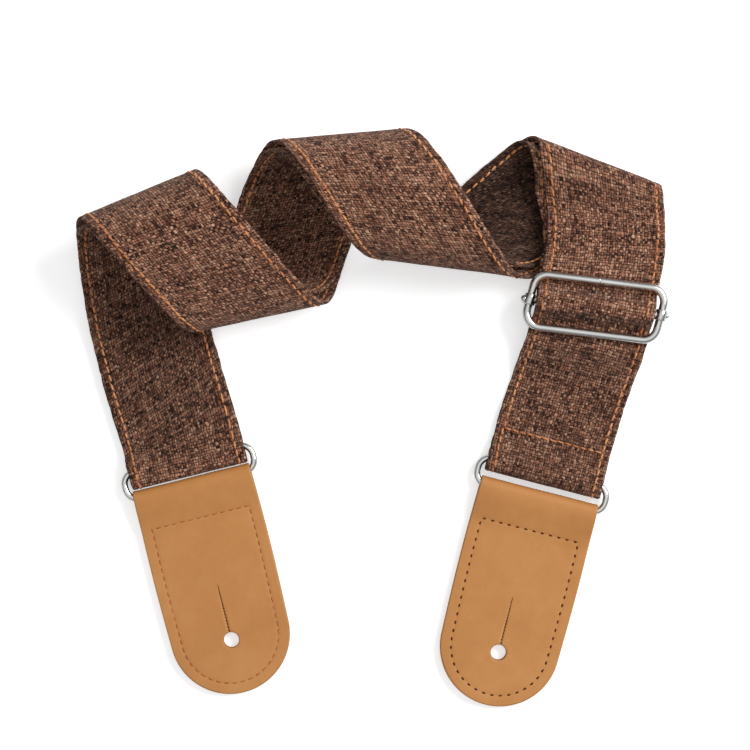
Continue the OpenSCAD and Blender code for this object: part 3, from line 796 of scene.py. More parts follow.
def weave_material():
    shader = new_shader("woven_brown")
    across, along, _ = shader.split(shader.signal("UVMap", {}, uv_map="cloth"))

    def grain(x, y, layer=0.0, detail=2.0, rough=0.5):
        return shader.noise(shader.vector(x, y, layer), scale=1.0, detail=detail, rough=rough)

    # yarns wander a little
    long_wander = grain(across * 0.5, along * 0.14)
    cross_wander = grain(across * 0.14, along * 0.5, layer=7.0)
    fine_long = grain(across * 0.55, along * 0.55, layer=21.0)
    fine_cross = grain(across * 0.55, along * 0.55, layer=33.0)
    long_wander = long_wander + (fine_long - 0.5) * 0.75
    cross_wander = cross_wander + (fine_cross - 0.5) * 0.75
    x = (across + (long_wander - 0.5) * 1.9) / YARN_ACROSS
    y = (along + (cross_wander - 0.5) * 1.9) / YARN_ALONG
    warp_index, weft_index = x.math("FLOOR"), y.math("FLOOR")
    cell_x, cell_y = x.math("FRACT") - 0.5, y.math("FRACT") - 0.5
    weft_up = abs(warp_index + weft_index).math("MODULO", 2.0)   # 0 warp on top, 1 weft on top

    def float_height(beside, lengthwise):
        """A yarn's float: round across, arched along."""
        rounded = (1.0 - abs(beside * 2.1) ** 2.0).clamped()
        arched = (1.0 - abs(lengthwise * 1.6) ** 2.4).clamped()
        return rounded.math("SQRT") * arched

    height = shader.mix_value(weft_up, float_height(cell_x, cell_y),
                              float_height(cell_y, cell_x) * 0.92)
    cell = shader.white(warp_index, weft_index)
    warp = shader.white(warp_index, 3.3)
    weft = shader.white(8.8, weft_index)

    # each yarn goes lighter and darker along its length
    warp_slub = grain(warp_index * 3.7, along * 0.30, layer=3.0, rough=0.6)
    weft_slub = grain(across * 0.30, weft_index * 3.7, layer=5.0, rough=0.6)
    patch = grain(across * 0.09, along * 0.07, layer=9.0, detail=3.0, rough=0.55)
    fibre = grain(across * 2.4, along * 2.4, detail=3.0, rough=0.7)
    warp_light = (warp - 0.5) * 0.26 + (warp_slub - 0.5) * 1.5
    weft_light = (weft - 0.5) * 0.26 + (weft_slub - 0.5) * 1.5
    light = (shader.mix_value(weft_up, warp_light + 0.60, weft_light + 0.50)
             + (cell - 0.5) * 0.36 + (patch - 0.5) * 0.45 + (fibre - 0.5) * 0.70).clamped()
    colour = shader.ramp(light, (0.0, srgb(27, 17, 13)), (0.25, srgb(72, 46, 37)),
                         (0.5, srgb(136, 94, 76)), (0.75, srgb(182, 132, 108)),
                         (1.0, srgb(214, 165, 138)))

    # some lengths redder, some greyer, some greener
    hue = grain(across * 0.35, along * 0.35, layer=13.0, detail=3.0, rough=0.6)
    yarn_hue = shader.mix_value(weft_up, warp, weft)
    pick = (hue * 0.75 + (yarn_hue * 0.16 + cell * 0.10)).clamped()
    tint = shader.ramp(pick, (0.30, (1.0, 0.80, 0.66, 1)), (0.46, (1.0, 0.93, 0.88, 1)),
                       (0.58, (0.92, 0.96, 0.94, 1)), (0.74, (0.80, 0.96, 0.84, 1)))
    colour = shader.mix_colour(0.9, colour, tint, "MULTIPLY")

    # painted shade: the gaps between yarns are darkened, for the shade that falls in them
    gap_shade_mix = ((height * 1.3 + 0.01).clamped() ** 1.75).clamped()
    colour = shader.mix_colour(gap_shade_mix, srgb(15, 8, 7), colour)
    bump = shader.bump(height + fibre * 0.22, distance=0.00036, strength=0.8)
    # painted shade: the cloth's colour is darkened by its length along the strip, from the shade
    # table above
    shade = shader.ramp(along / END,
                        *[(dist / END, (level, level, level, 1)) for dist, level in PAINTED_SHADE])
    colour = shader.mix_colour(1.0, colour, shade, "MULTIPLY")
    return shader.surface(Base_Color=colour, Roughness=0.9, Normal=bump,
                          Specular_IOR_Level=0.15, Sheen_Weight=0.08, Sheen_Roughness=0.5)


def thread_material(name, dark, middle, bright, rough, specular, sheen):
    shader = new_shader(name)
    coords = shader.coords()
    fine = shader.noise(coords, scale=900.0)
    broad = shader.noise(coords, scale=60.0)
    twist = shader.signal("TexWave", {"Vector": coords, "Scale": 1100.0}, output="Fac",
                          wave_type="BANDS", bands_direction="DIAGONAL")
    colour = shader.ramp((fine * 0.6 + broad * 0.6).clamped(), (0.25, srgb(*dark)),
                         (0.55, srgb(*middle)), (0.85, srgb(*bright)))
    return shader.surface(Base_Color=colour, Roughness=rough,
                          Normal=shader.bump(twist, distance=0.0001, strength=0.6),
                          Specular_IOR_Level=specular, Sheen_Weight=sheen)


def leather_material():
    shader = new_shader("tan_leather")
    coords = shader.coords()
    broad = shader.noise(coords, scale=26.0, detail=3.0, rough=0.55)
    medium = shader.noise(coords, scale=160.0, detail=4.0, rough=0.6)
    fine = shader.noise(coords, scale=900.0, detail=3.0, rough=0.6)
    cells = shader.voronoi(coords, scale=1500.0)
    pore = (1.0 - shader.voronoi(coords, scale=420.0) * 9.0).clamped()
    tone = broad * 0.55 + (medium * 0.28 + fine * 0.17)
    colour = shader.ramp(tone, (0.28, srgb(181, 121, 65)), (0.5, srgb(193, 132, 73)),
                         (0.72, srgb(202, 143, 84)))
    colour = shader.mix_colour(pore * 0.25, colour, srgb(150, 96, 52))
    # burnished cut edges, where the surface turns to the side
    normal_z = shader.split(shader.signal("NewGeometry", {}, output="Normal"))[2]
    edge = (1.0 - abs(normal_z) * 1.35).clamped()
    colour = shader.mix_colour(edge * 0.55, colour, srgb(150, 96, 54))
    height = cells * 0.45 + (fine * 0.5 + pore * -0.5)
    grain = shader.bump(height, distance=0.00005, strength=0.55)
    bump = shader.bump(shader.noise(coords, scale=95.0), distance=0.00035, strength=0.35,
                       normal=grain)
    return shader.surface(Base_Color=colour, Roughness=0.44 + medium * 0.16, Normal=bump,
                          Specular_IOR_Level=0.35)


def nickel_material():
    shader = new_shader("nickel_wire")
    coords = shader.coords()
    fine = shader.noise(coords, scale=420.0, detail=3.0, rough=0.6)
    broad = shader.noise(coords, scale=60.0)
    rough = 0.13 + (fine * 0.5 + broad * 0.5) * 0.16
    colour = shader.ramp(broad, (0.3, (0.66, 0.66, 0.645, 1)), (0.7, (0.75, 0.75, 0.735, 1)))
    return shader.surface(Base_Color=colour, Metallic=1.0, Roughness=rough,
                          Normal=shader.bump(fine, distance=0.00002, strength=0.3))


WEAVE = weave_material()
THREAD = thread_material("orange_thread", dark=(140, 72, 34), middle=(206, 128, 74),
                         bright=(236, 172, 118), rough=0.55, specular=0.35, sheen=0.15)
LEATHER = leather_material()
NICKEL = nickel_material()
DARK_THREAD = thread_material("dark_leather_thread", dark=(58, 27, 12), middle=(88, 44, 21),
                              bright=(116, 62, 32), rough=0.8, specular=0.1, sheen=0.0)
TAN_THREAD = thread_material("tan_leather_thread", dark=(138, 74, 38), middle=(172, 98, 58),
                             bright=(204, 132, 92), rough=0.7, specular=0.1, sheen=0.0)


def dress(ob, material):
    ob.data.materials.append(material)
    return ob


# ------------------------------------------------------------------------------------------
# The strap
# ------------------------------------------------------------------------------------------
bar_dist = main_dist(BAR_AT)
crest_main_dist = main_dist(CREST3_AT)
crest_return_dist = return_dist(CREST3_AT)

# part: start, end, and the (from, to, face) where seams would lie inside a hem
PARTS = {
    "lower": (0.0, bar_dist,
              [(0, HEM - 0.5, -1), (START["lower"], START["lower"] + 16, -1)]),
    "to_slider": (bar_dist, crest_main_dist, []),
    "coils": (crest_main_dist, crest_return_dist, []),
    "return_end": (crest_return_dist, END,
                   [(START["tail_top"], END, -1), (START["tail_under"] - 4, END, 1)]),
}
cloth = {part: dress(ribbon(f"woven_strap_{part}", start, end), WEAVE)
         for part, (start, end, _) in PARTS.items()}
seams = {part: dress(edge_stitches(f"edge_seams_{part}", *spec), THREAD)
         for part, spec in PARTS.items()}
hem_top, hem_under, tail_seam = [
    dress(cross_stitches(name, dist), THREAD) for name, dist in (
        ("hem_cross_seam_top", START["lower"] + 13.7),
        ("hem_cross_seam_under", HEM - 13.7),
        ("tail_cross_seam", START["tail_under"] + 15.0))]


# ------------------------------------------------------------------------------------------
# Leather ends: one piece folded round the ring's near rail, drawn unrolled. `reach` is the
# length along the unrolled piece from the front hole; the back hole is at BACK_HOLE.
# ------------------------------------------------------------------------------------------
TIP_R = LEATHER_W / 2
FOLD_IN = RING_WIRE_R + 0.15
FOLD_R = FOLD_IN + LEATHER_T / 2
LEATHER_TOP = HOLE_TO_RAIL + FOLD_IN + LEATHER_T
FOLD_START = HOLE_TO_RAIL
FOLD_END = HOLE_TO_RAIL + math.pi * FOLD_R
BACK_HOLE = FOLD_END + HOLE_TO_RAIL
STITCH_TOP = LEATHER_TOP - 17.5     # the stitching's row across


def side_half(part):
    return TIP_R + LEATHER_BOW * np.sin(np.pi * np.minimum(1, part))


def front_mid(y):
    return mix(1.5 * LEATHER_T + 0.1, RING_Z + FOLD_R, ease((y - HOLE_TO_RAIL + 18) / 17))


def back_mid(y):
    return mix(LEATHER_T / 2, RING_Z - FOLD_R, ease((y - HOLE_TO_RAIL + 18) / 17))


def unrolled_y(reach):
    """Height up the leather, on either side of the fold."""
    folded = HOLE_TO_RAIL + FOLD_R * np.sin((reach - FOLD_START) / FOLD_R)
    return np.where(reach < FOLD_START, reach,
                    np.where(reach < FOLD_END, folded, HOLE_TO_RAIL - (reach - FOLD_END)))


def leather_point(x, reach, out):
    """out is outward from the middle of the thickness."""
    y = unrolled_y(reach)
    angle = np.clip((reach - FOLD_START) / FOLD_R, 0, math.pi)
    front, back = reach < FOLD_START, reach > FOLD_END
    delta = 0.05
    front_slope = (front_mid(y + delta) - front_mid(y - delta)) / (2 * delta)
    back_slope = (back_mid(y + delta) - back_mid(y - delta)) / (2 * delta)
    front_len = np.sqrt(1 + front_slope ** 2)
    back_len = np.sqrt(1 + back_slope ** 2)
    normal_y = np.where(front, -front_slope / front_len,
                        np.where(back, back_slope / back_len, np.sin(angle)))
    normal_z = np.where(front, 1 / front_len, np.where(back, -1 / back_len, np.cos(angle)))
    z = np.where(front, front_mid(y),
                 np.where(back, back_mid(y), RING_Z + FOLD_R * np.cos(angle)))
    return np.stack([x, y + normal_y * out, z + normal_z * out], -1)


def outline(inset):
    """The unrolled leather's edge, moved in by inset, as a closed loop of (x, reach)."""
    radius = TIP_R - inset
    step = 0.9
    angle = np.linspace(math.pi, 2 * math.pi, int(math.pi * radius / step))
    start, end = TIP_CENTRE, BACK_HOLE - TIP_CENTRE
    front = np.stack([radius * np.cos(angle), start + radius * np.sin(angle)], 1)
    back = np.stack([radius * np.cos(angle[::-1]), end - radius * np.sin(angle[::-1])], 1)
    reach = np.linspace(start, end, int((end - start) / step) + 1)[1:-1]

    def half(reach):
        part = (unrolled_y(reach) - TIP_CENTRE) / (LEATHER_TOP + 0.1 - TIP_CENTRE)
        return side_half(part) - inset

    right = np.stack([half(reach), reach], 1)
    left = np.stack([-half(reach[::-1]), reach[::-1]], 1)
    return np.concatenate([front, right, back, left])


def keyhole(grow):
    """The front hole with a slit towards the ring, grown by grow."""
    radius = HOLE_R + grow
    slit = 0.06 + grow
    mouth = math.asin(slit / radius)
    top = SLIT_LEN + grow

    def gape(y):
        """The slit opens a little in the middle."""
        return slit + 0.03 * math.sin(math.pi * (y - 3) / (top - 3))

    heights = np.linspace(radius * math.cos(mouth), top - slit, 16)
    points = [(radius * math.cos(t), radius * math.sin(t))
              for t in np.linspace(math.pi / 2 + mouth, 2.5 * math.pi - mouth, 40)]
    points += [(gape(y), y) for y in heights[1:]]
    points += [(slit * math.cos(t), top - slit + slit * math.sin(t))
               for t in np.linspace(0, math.pi, 7)[1:-1]]
    points += [(-gape(y), y) for y in heights[::-1][:-1]]
    return np.array(points)


def to_back(loop):
    return np.stack([loop[:, 0], BACK_HOLE - loop[:, 1]], 1)


def loop_dist(points, loop):
    """Distance from each point to a closed loop, taken 64 edges at a time."""
    ends = np.roll(loop, -1, 0)
    best = np.full(len(points), 1e9)
    for k in range(0, len(loop), 64):
        start = loop[k:k + 64]
        edge = ends[k:k + 64] - start
        away = points[:, None] - start
        t = np.clip((away * edge).sum(-1) / np.maximum((edge ** 2).sum(-1), 1e-12), 0, 1)
        best = np.minimum(best, np.sqrt(((away - t[..., None] * edge) ** 2).sum(-1)).min(1))
    return best


def either_dist(points, loop):
    """Distance to a loop on the front or its copy on the back."""
    return np.minimum(loop_dist(points, loop), loop_dist(points, to_back(loop)))


def inside(points, loop):
    x, y = points[:, 0], points[:, 1]
    result = np.zeros(len(points), bool)
    for (x0, y0), (x1, y1) in zip(loop, np.roll(loop, -1, 0)):
        crosses = (y0 > y) != (y1 > y)
        result ^= crosses & (x < (x1 - x0) * (y - y0) / ((y1 - y0) if y1 != y0 else 1e-12) + x0)
    return result


def loop_sampler(path):
    """A closed path's length, and a function from lengths along it to its points."""
    closed = np.concatenate([path, path[:1]])
    steps = np.linalg.norm(np.diff(closed, axis=0), axis=1)
    reach = np.concatenate([[0], np.cumsum(steps)])

    def sample(t):
        return np.stack([np.interp(t % reach[-1], reach, closed[:, k]) for k in (0, 1)], 1)

    return reach[-1], sample


def stitch_path():
    """The stitching's closed line on one ply, with a row across the top, as (x, y) points."""
    angle = np.linspace(math.pi, 2 * math.pi, 60)
    radius = TIP_R - STITCH_INSET
    tip = np.stack([radius * np.cos(angle), TIP_CENTRE + radius * np.sin(angle)], 1)
    heights = np.linspace(TIP_CENTRE, STITCH_TOP, 40)[1:]
    half = side_half((heights - TIP_CENTRE) / (LEATHER_TOP - TIP_CENTRE)) - STITCH_INSET
    right = np.stack([half, heights], 1)
    left = np.stack([-half[::-1], heights[::-1]], 1)
    length, sample = loop_sampler(np.concatenate([tip, right, left]))
    return sample(np.arange(0, length, 0.8))


def leather_grid(edge, hole, stitching):
    """Staggered points away from the edges and stitching, closer together round the fold."""
    rows = []
    reach = -23.0
    while reach < BACK_HOLE + 23:
        xs = np.arange(-27, 27.01, 1.5) + (0.75 if len(rows) % 2 else 0)
        rows.append(np.stack([xs, np.full_like(xs, reach)], 1))
        reach += 0.7 if FOLD_START - 4 < reach < FOLD_END + 4 else 1.3
    grid = np.concatenate(rows)
    return grid[inside(grid, edge) & (loop_dist(grid, edge) > 1.5)
                & (either_dist(grid, hole) > 1.6) & (either_dist(grid, stitching) > 1.3)]


def flat_leather(edge, hole, stitching):
    """Triangles of the unrolled leather, with lines of points along edges and stitching."""
    holes = [hole, to_back(hole)]
    fixed, edges = [], []
    for loop in [edge] + holes:
        base = len(fixed)
        fixed += loop.tolist()
        edges += [(base + i, base + (i + 1) % len(loop)) for i in range(len(loop))]
    free = [outline(inset) for inset in (0.05, 0.16, 0.34, 0.6, 1.0)]
    for grow in (0.05, 0.11, 0.18, 0.4, 0.75, 1.2):
        free += [keyhole(grow), to_back(keyhole(grow))]
    tangent = np.roll(stitching, -1, 0) - np.roll(stitching, 1, 0)
    normal = (np.stack([-tangent[:, 1], tangent[:, 0]], 1)
              / np.linalg.norm(tangent, axis=1)[:, None])
    for offset in (-0.8, -0.4, 0.0, 0.4, 0.8):
        line = stitching + normal * offset
        free += [line, to_back(line)]
    free.append(leather_grid(edge, hole, stitching))

    def on_leather(points):
        return inside(points, edge) & ~inside(points, holes[0]) & ~inside(points, holes[1])

    free = np.concatenate(free)
    free = free[on_leather(free)]
    # no two points closer than a hair
    kept = np.unique(np.round(free / 0.03).astype(int), axis=0, return_index=True)[1]
    points = fixed + free[np.sort(kept)].tolist()
    result = geometry.delaunay_2d_cdt([Vector(p) for p in points], edges, [], 0, 1e-6, False)
    verts = np.array([tuple(vert) for vert in result[0]])
    faces = np.array([tuple(face) for face in result[2] if len(face) == 3])
    faces = faces[on_leather(verts[faces].mean(1))]
    used = np.unique(faces)
    renumber = -np.ones(len(verts), int)
    renumber[used] = np.arange(len(used))
    return verts[used], renumber[faces]


def rounded(inset, width):
    """Rise of a rounded edge from 0 to 1 over a width."""
    return (1 - np.clip(1 - inset / width, 0, 1) ** 2.6) ** (1 / 2.6)


def build_leather(stitching):
    """The folded leather's vertices and faces, in an end's own frame."""
    edge, hole = outline(0.0), keyhole(0.0)
    flat, faces = flat_leather(edge, hole, stitching)
    x, reach = flat.T
    edge_dist, hole_dist = loop_dist(flat, edge), either_dist(flat, hole)
    full = LEATHER_T / 2
    from_hole = np.minimum(np.hypot(x, reach), np.hypot(x, reach - BACK_HOLE))
    half = full * np.minimum(rounded(edge_dist, 0.55),
                             rounded(hole_dist, np.where(from_hole < 3.9, 0.5, 0.16)))
    half[np.minimum(edge_dist, hole_dist) < 1e-4] = 0
    groove = 0.16 * np.exp(-(either_dist(flat, stitching) / 0.42) ** 2)
    soft = 0.05 * noise2(x / 9, reach / 9, 61) + 0.02 * noise2(x / 3, reach / 3, 62)
    # the leather stands up a little round the front slit
    lip = 0.05 * np.exp(-((hole_dist - 1.3) / 0.9) ** 2) * (reach < FOLD_START)
    # in the fold, the inside thins towards the sides
    in_fold = ease((reach - FOLD_START + 3) / 3) * ease((FOLD_END + 3 - reach) / 3)
    flare = np.clip((np.abs(x) - 20.5) / 5, 0, 1) ** 1.5 * 1.1 * in_fold
    outer = half - groove * (half > 0) + (soft + lip) * (half > 0.5 * full)
    inner = -0.985 * np.maximum(half - flare, 0.0)
    # both faces share their points on the cut edges
    boundary = half <= 1e-9
    count = len(flat)
    inner_index = np.where(boundary, np.arange(count), count + np.cumsum(~boundary) - 1)
    verts = np.concatenate([leather_point(x, reach, outer),
                            leather_point(x, reach, inner)[~boundary]])
    return verts, faces.tolist() + inner_index[faces][:, ::-1].tolist()


STITCHING = stitch_path()
LEATHER_VERTS, LEATHER_FACES = build_leather(STITCHING)


def leather_stitches(side, in_end, material, pitch, half_length, radius):
    """Stitches sunk in the leather, on both faces."""
    length, sample = loop_sampler(STITCHING)
    count = int(round(length / pitch))
    places = (np.arange(count) + 0.5) * length / count
    direction = unit(sample(places + 0.2) - sample(places - 0.2))
    tau = np.linspace(-1, 1, 5)
    points = sample(places)[:, None] + direction[:, None] * tau[:, None] * half_length
    depth = LEATHER_T / 2 - 0.21 + 0.10 * (1 - tau ** 2)
    centres, normals = [], []
    for reach in (points[..., 1], BACK_HOLE - points[..., 1]):
        low, high = [in_end(*np.moveaxis(leather_point(points[..., 0], reach, out), -1, 0))
                     for out in (depth, depth + 0.3)]
        centres.append(low)
        normals.append(high - low)
    stitches = tubes(f"{side}_leather_stitches", np.concatenate(centres),
                     np.concatenate(normals), radius, squash=0.8, taper=[0.5, 0.95, 1, 0.95, 0.5])
    return dress(stitches, material)


IN_END = {"left": in_left, "right": in_right}
THREADS = {
    "left": dict(material=TAN_THREAD, pitch=3.5, half_length=1.15, radius=0.32),
    "right": dict(material=DARK_THREAD, pitch=3.6, half_length=0.72, radius=0.44),
}
leather = {}
for side, in_end in IN_END.items():
    piece = make_mesh(f"{side}_leather", in_end(*LEATHER_VERTS.T), LEATHER_FACES)
    dress(piece, LEATHER)
    leather[side] = (piece, leather_stitches(side, in_end, **THREADS[side]))


# ------------------------------------------------------------------------------------------
# Wire parts
# ------------------------------------------------------------------------------------------
def swept(path, radius, closed=True):
    """A round wire along a level (x, y) path. radius is one value or one for each point."""
    sides = 28
    count = len(path)
    path = np.column_stack([path, np.zeros(count)])
    if closed:
        tangent = np.roll(path, -1, 0) - np.roll(path, 1, 0)
    else:
        tangent = np.gradient(path, axis=0)
    upward = np.array([0, 0, 1.0])
    side = np.cross(unit(tangent), upward)
    radii = (radius * np.ones(count))[:, None, None]
    angle = (2 * np.pi * np.arange(sides) / sides)[:, None]
    verts = path[:, None] + radii * (np.cos(angle) * side[:, None] + np.sin(angle) * upward)
    index = np.arange(count * sides).reshape(count, sides)
    faces = quads(index, closed)
    if not closed:
        faces += [index[0, ::-1].tolist(), index[-1].tolist()]
    return verts.reshape(-1, 3), faces


def arc_points(centre, radius, start, end, count=14):
    angle = np.radians(np.linspace(start, end, count))
    return np.stack([centre[0] + radius * np.cos(angle), centre[1] + radius * np.sin(angle)], 1)


def line_points(start, end, count):
    """Points between two ends, without the ends."""
    t = np.linspace(0, 1, count + 2)[1:-1, None]
    return np.array(start) * (1 - t) + np.array(end) * t


def ring_path():
    corner, half_x, half_y = RING_CORNER, RING_LEN / 2 - RING_WIRE_R, RING_PITCH / 2
    x, y = half_x - corner, half_y - corner
    return np.concatenate([
        arc_points((x, y), corner, 0, 90),
        line_points((x, half_y), (-x, half_y), 24),
        arc_points((-x, y), corner, 90, 180),
        line_points((-half_x, y), (-half_x, -y), 2),
        arc_points((-x, -y), corner, 180, 270),
        line_points((-x, -half_y), (x, -half_y), 24),
        arc_points((x, -y), corner, 270, 360),
        line_points((half_x, -y), (half_x, y), 2)])


def ring(side, in_end):
    verts, faces = swept(ring_path(), RING_WIRE_R)
    verts = in_end(*(verts + [0, HOLE_TO_RAIL + RING_PITCH / 2, RING_Z]).T)
    return dress(make_mesh(f"{side}_wire_ring", verts, faces), NICKEL)


rings = {side: ring(side, in_end) for side, in_end in IN_END.items()}

SKEW = math.radians(FRAME_SKEW)
SIDE_DIR = np.array([math.sin(SKEW), math.cos(SKEW)])    # along the slider's side rails
HALF_PITCH = FRAME_PITCH / 2
SIDE_X = FRAME_SPAN / 2 / math.cos(SKEW)


def frame_path():
    """The slider's skewed outline and its wire radius, thinned where the wire's ends meet."""
    corner, top, skew = FRAME_CORNER, HALF_PITCH, FRAME_SKEW
    # from a corner's point to where its arc starts, at the sharp and the blunt corners
    sharp = corner * math.tan(math.radians(90 + skew) / 2)
    blunt = corner * math.tan(math.radians(90 - skew) / 2)
    lean = top * math.tan(SKEW)
    top_left, top_right = np.array([-SIDE_X + lean, top]), np.array([SIDE_X + lean, top])
    low_left, low_right = np.array([-SIDE_X - lean, -top]), np.array([SIDE_X - lean, -top])
    top_start, top_end = top_right[0] - sharp, top_left[0] + blunt
    low_start, low_end = low_left[0] + sharp, low_right[0] - blunt
    joint = 0.5 * (top_start + top_end)
    beside = (1.0, 0.5, 0.22, 0.10, 0.05, 0.0, -0.05, -0.10, -0.22, -0.5, -1.0)
    path = np.concatenate([
        arc_points((top_start, top - corner), corner, -skew, 90, 18),
        line_points((top_start, top), (joint + 1.2, top), 14),
        [(joint + x, top) for x in beside],
        line_points((joint - 1.2, top), (top_end, top), 14),
        arc_points((top_end, top - corner), corner, 90, 180 - skew, 16),
        line_points(top_left - SIDE_DIR * blunt, low_left + SIDE_DIR * sharp, 8),
        arc_points((low_start, -top + corner), corner, 180 - skew, 270, 18),
        line_points((low_start, -top), (low_end, -top), 28),
        arc_points((low_end, -top + corner), corner, 270, 360 - skew, 16),
        line_points(low_right + SIDE_DIR * blunt, top_right - SIDE_DIR * sharp, 8)])
    away = np.abs(path[:, 0] - joint)
    at_joint = (np.abs(path[:, 1] - top) < 1e-6) & (away < 0.24)
    thinning = np.interp(away, [0, 0.06, 0.10, 0.23], [0.8, 0.8, 0.05, 0.0])
    return path, np.where(at_joint, FRAME_WIRE_R - thinning, FRAME_WIRE_R)


def slider_mesh(name, verts, faces):
    return make_mesh(name, in_slider(*(verts + [0, 0, BAR_Z]).T), faces)


slider_frame = dress(slider_mesh("slider_wire_frame", *swept(*frame_path())), NICKEL)

EYELET_R = FRAME_WIRE_R + 0.75


def eyelet(side):
    """A short barrel with rounded ends round a side rail."""
    inner, outer, half, count = FRAME_WIRE_R + 0.1, EYELET_R, 2.3, 36
    # radius, height along the rail, for one half; the other half mirrors it
    lower_half = [(inner, -half + 0.15), (inner + 0.15, -half), (outer - 0.4, -half),
                  (outer - 0.14, -half + 0.1), (outer, -half + 0.42)]
    profile = lower_half + [(radius, -height) for radius, height in lower_half[::-1]]
    angle = 2 * np.pi * np.arange(count) / count
    verts = np.concatenate([np.stack([
        side * SIDE_X + height * SIDE_DIR[0] + radius * np.cos(angle) * SIDE_DIR[1],
        height * SIDE_DIR[1] - radius * np.cos(angle) * SIDE_DIR[0],
        radius * np.sin(angle)], 1) for radius, height in profile])
    index = np.arange(len(profile) * count).reshape(len(profile), count)
    return verts, quads(index, closed=True)


def bar_end(side, radius):
    """The bar's rounded end, which stands out past the eyelet."""
    rings_count, count = 13, 24
    tilt = np.repeat(np.radians(np.linspace(-88, 88, rings_count)), count)
    angle = np.tile(2 * np.pi * np.arange(count) / count, rings_count)
    verts = np.stack([side * (SIDE_X + EYELET_R - 0.1) + side * radius * np.sin(tilt),
                      radius * np.cos(tilt) * np.cos(angle),
                      radius * np.cos(tilt) * np.sin(angle)], 1)
    index = np.arange(rings_count * count).reshape(rings_count, count)
    return verts, quads(index) + [index[0, ::-1].tolist(), index[-1].tolist()]


def slider_bar():
    """The bar and, at each end, the eyelet that runs on the side rail."""
    reach = SIDE_X - FRAME_WIRE_R - 0.35
    path = np.column_stack([np.linspace(-reach, reach, 40), np.zeros(40)])
    pieces = [swept(path, BAR_R, closed=False), eyelet(-1), eyelet(1),
              bar_end(-1, 1.5), bar_end(1, 1.2)]
    faces, base = [], 0
    for piece_verts, piece_faces in pieces:
        faces += [[base + i for i in face] for face in piece_faces]
        base += len(piece_verts)
    ob = slider_mesh("slider_middle_bar", np.concatenate([piece[0] for piece in pieces]), faces)
    sharpen(ob, angle=50)
    return dress(ob, NICKEL)


bar = slider_bar()

# ------------------------------------------------------------------------------------------
# Which piece rides on what, and which CAD pieces it replaces (places in metres)
# ------------------------------------------------------------------------------------------
up_dir = np.array([-DOWN[0], -DOWN[1], 0.0])
bar_centre = np.array([*SLIDER_POS, BAR_Z]) * MM
rail_top = bar_centre + up_dir * (HALF_PITCH + 3.0) * MM
crest = strip_point(np.array([crest_main_dist]), 0.0, 0.0)[0] * MM
joints = {joint["name"]: joint for joint in frame["joints"]}
travel = np.array(joints["slider_travel"]["axis"], float)
# the upper part runs from the last crest down to the slider, along the slider's travel
upper_start = rail_top - travel * np.dot(rail_top - crest, travel)

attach(cloth["coils"], "strap")
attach(seams["coils"], "strap")
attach(hem_top, "strap")
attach(hem_under, "strap")
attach(tail_seam, "tail")
for ob in (cloth["lower"], seams["lower"]):
    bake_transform(ob)
for part in ("to_slider", "return_end"):
    for ob in (cloth[part], seams[part]):
        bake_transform(ob)
for side in IN_END:
    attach(rings[side], f"ring_{side}")
    for ob in leather[side]:
        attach(ob, f"end_{side}")
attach(slider_frame, "frame")
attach(bar, "bar")

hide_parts("main_run_face_ply", "main_run_back_ply", "return_run_face_ply",
            "return_run_back_ply", "left_ring_fold")
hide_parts("main_run_left_seam", "main_run_right_seam",
            "return_run_left_seam", "return_run_right_seam")
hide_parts("main_run_over_bar")
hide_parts("return_run_end", "tail_loop")
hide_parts("lower_strap")
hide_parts("lower_strap_edge_seams")
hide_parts("lower_strap_cross_seam")
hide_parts("tail_seam")
for side in IN_END:
    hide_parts(f"{side}_ring")
    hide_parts(f"{side}_leather_end")
    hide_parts(f"{side}_leather_thread")
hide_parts("slider_frame")
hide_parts("slider_bar")

# ------------------------------------------------------------------------------------------
# Floor, light and camera (places in metres)
# ------------------------------------------------------------------------------------------
scene = bpy.context.scene
CENTRE = (0.06, 0.11, 0.0)


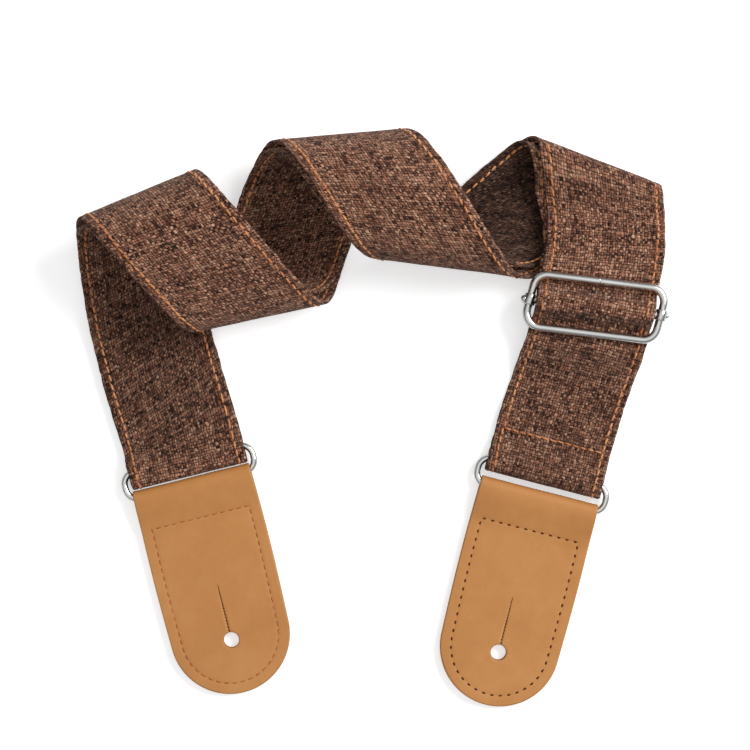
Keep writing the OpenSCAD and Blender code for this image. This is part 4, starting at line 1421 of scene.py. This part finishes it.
def floor_material():
    """Pale grey, lit up a little for the camera only."""
    shader = new_shader("pale_floor")
    cloudy = shader.noise(shader.coords(), scale=3.0)
    colour = shader.mix_colour(cloudy, (0.86, 0.86, 0.86, 1), (0.88, 0.88, 0.875, 1))
    seen = shader.signal("LightPath", {}, output="Is Camera Ray")
    return shader.surface(Base_Color=colour, Roughness=0.9, Specular_IOR_Level=0.1,
                          Emission_Color=(1, 1, 1, 1), Emission_Strength=seen * 0.5)


def sky():
    """Brighter overhead than at the sides."""
    scene.world = bpy.data.worlds.new("studio")
    shader = Shader(scene.world)
    height = shader.split(shader.coords("Generated"))[2]
    between_stops = [(position, (level, level, level * 1.01, 1))
                     for position, level in ((0.30, 0.38), (0.60, 0.62), (0.85, 1.25))]
    colour = shader.ramp(height, (0.0, (0.34, 0.34, 0.35, 1)), *between_stops,
                         (1.0, (2.1, 2.1, 2.08, 1)))
    background = shader.signal("Background", {"Color": colour, "Strength": 0.47})
    shader.new("OutputWorld", {0: background})


def add_object(name, data, location):
    ob = bpy.data.objects.new(name, data)
    scene.collection.objects.link(ob)
    ob.location = location
    return ob


def area_light(name, location, size, power):
    """A rectangular light aimed at the strap."""
    light = bpy.data.lights.new(name, "AREA")
    light.energy = power
    light.shape = "RECTANGLE"
    light.size, light.size_y = size
    ob = add_object(name, light, location)
    aim = Vector(CENTRE) - Vector(location)
    ob.rotation_euler = aim.to_track_quat("-Z", "Y").to_euler()


bpy.ops.mesh.primitive_plane_add(size=6, location=(CENTRE[0], CENTRE[1], -0.0003))
floor = bpy.context.object
floor.name = "floor"
floor.data.materials.append(floor_material())

sky()
area_light("key_light", location=(1.25, 0.75, 1.2), size=(1.0, 0.8), power=27.0)
area_light("fill_light", location=(-0.9, -0.5, 1.2), size=(1.0, 1.0), power=1.0)

scene.view_settings.view_transform = "Standard"
scene.view_settings.look = "None"
scene.view_settings.exposure = 0.0
scene.view_settings.gamma = 1.0

# straight down, seeing VIEW_WIDTH mm of the floor
VIEW_WIDTH = 320.25
CAMERA_HEIGHT = 1000.0
camera = bpy.data.cameras.new("camera")
camera.sensor_width = 36.0
camera.lens = 36.0 / VIEW_WIDTH * CAMERA_HEIGHT
scene.camera = add_object("camera", camera, (0.06115, 0.11273, CAMERA_HEIGHT * MM))
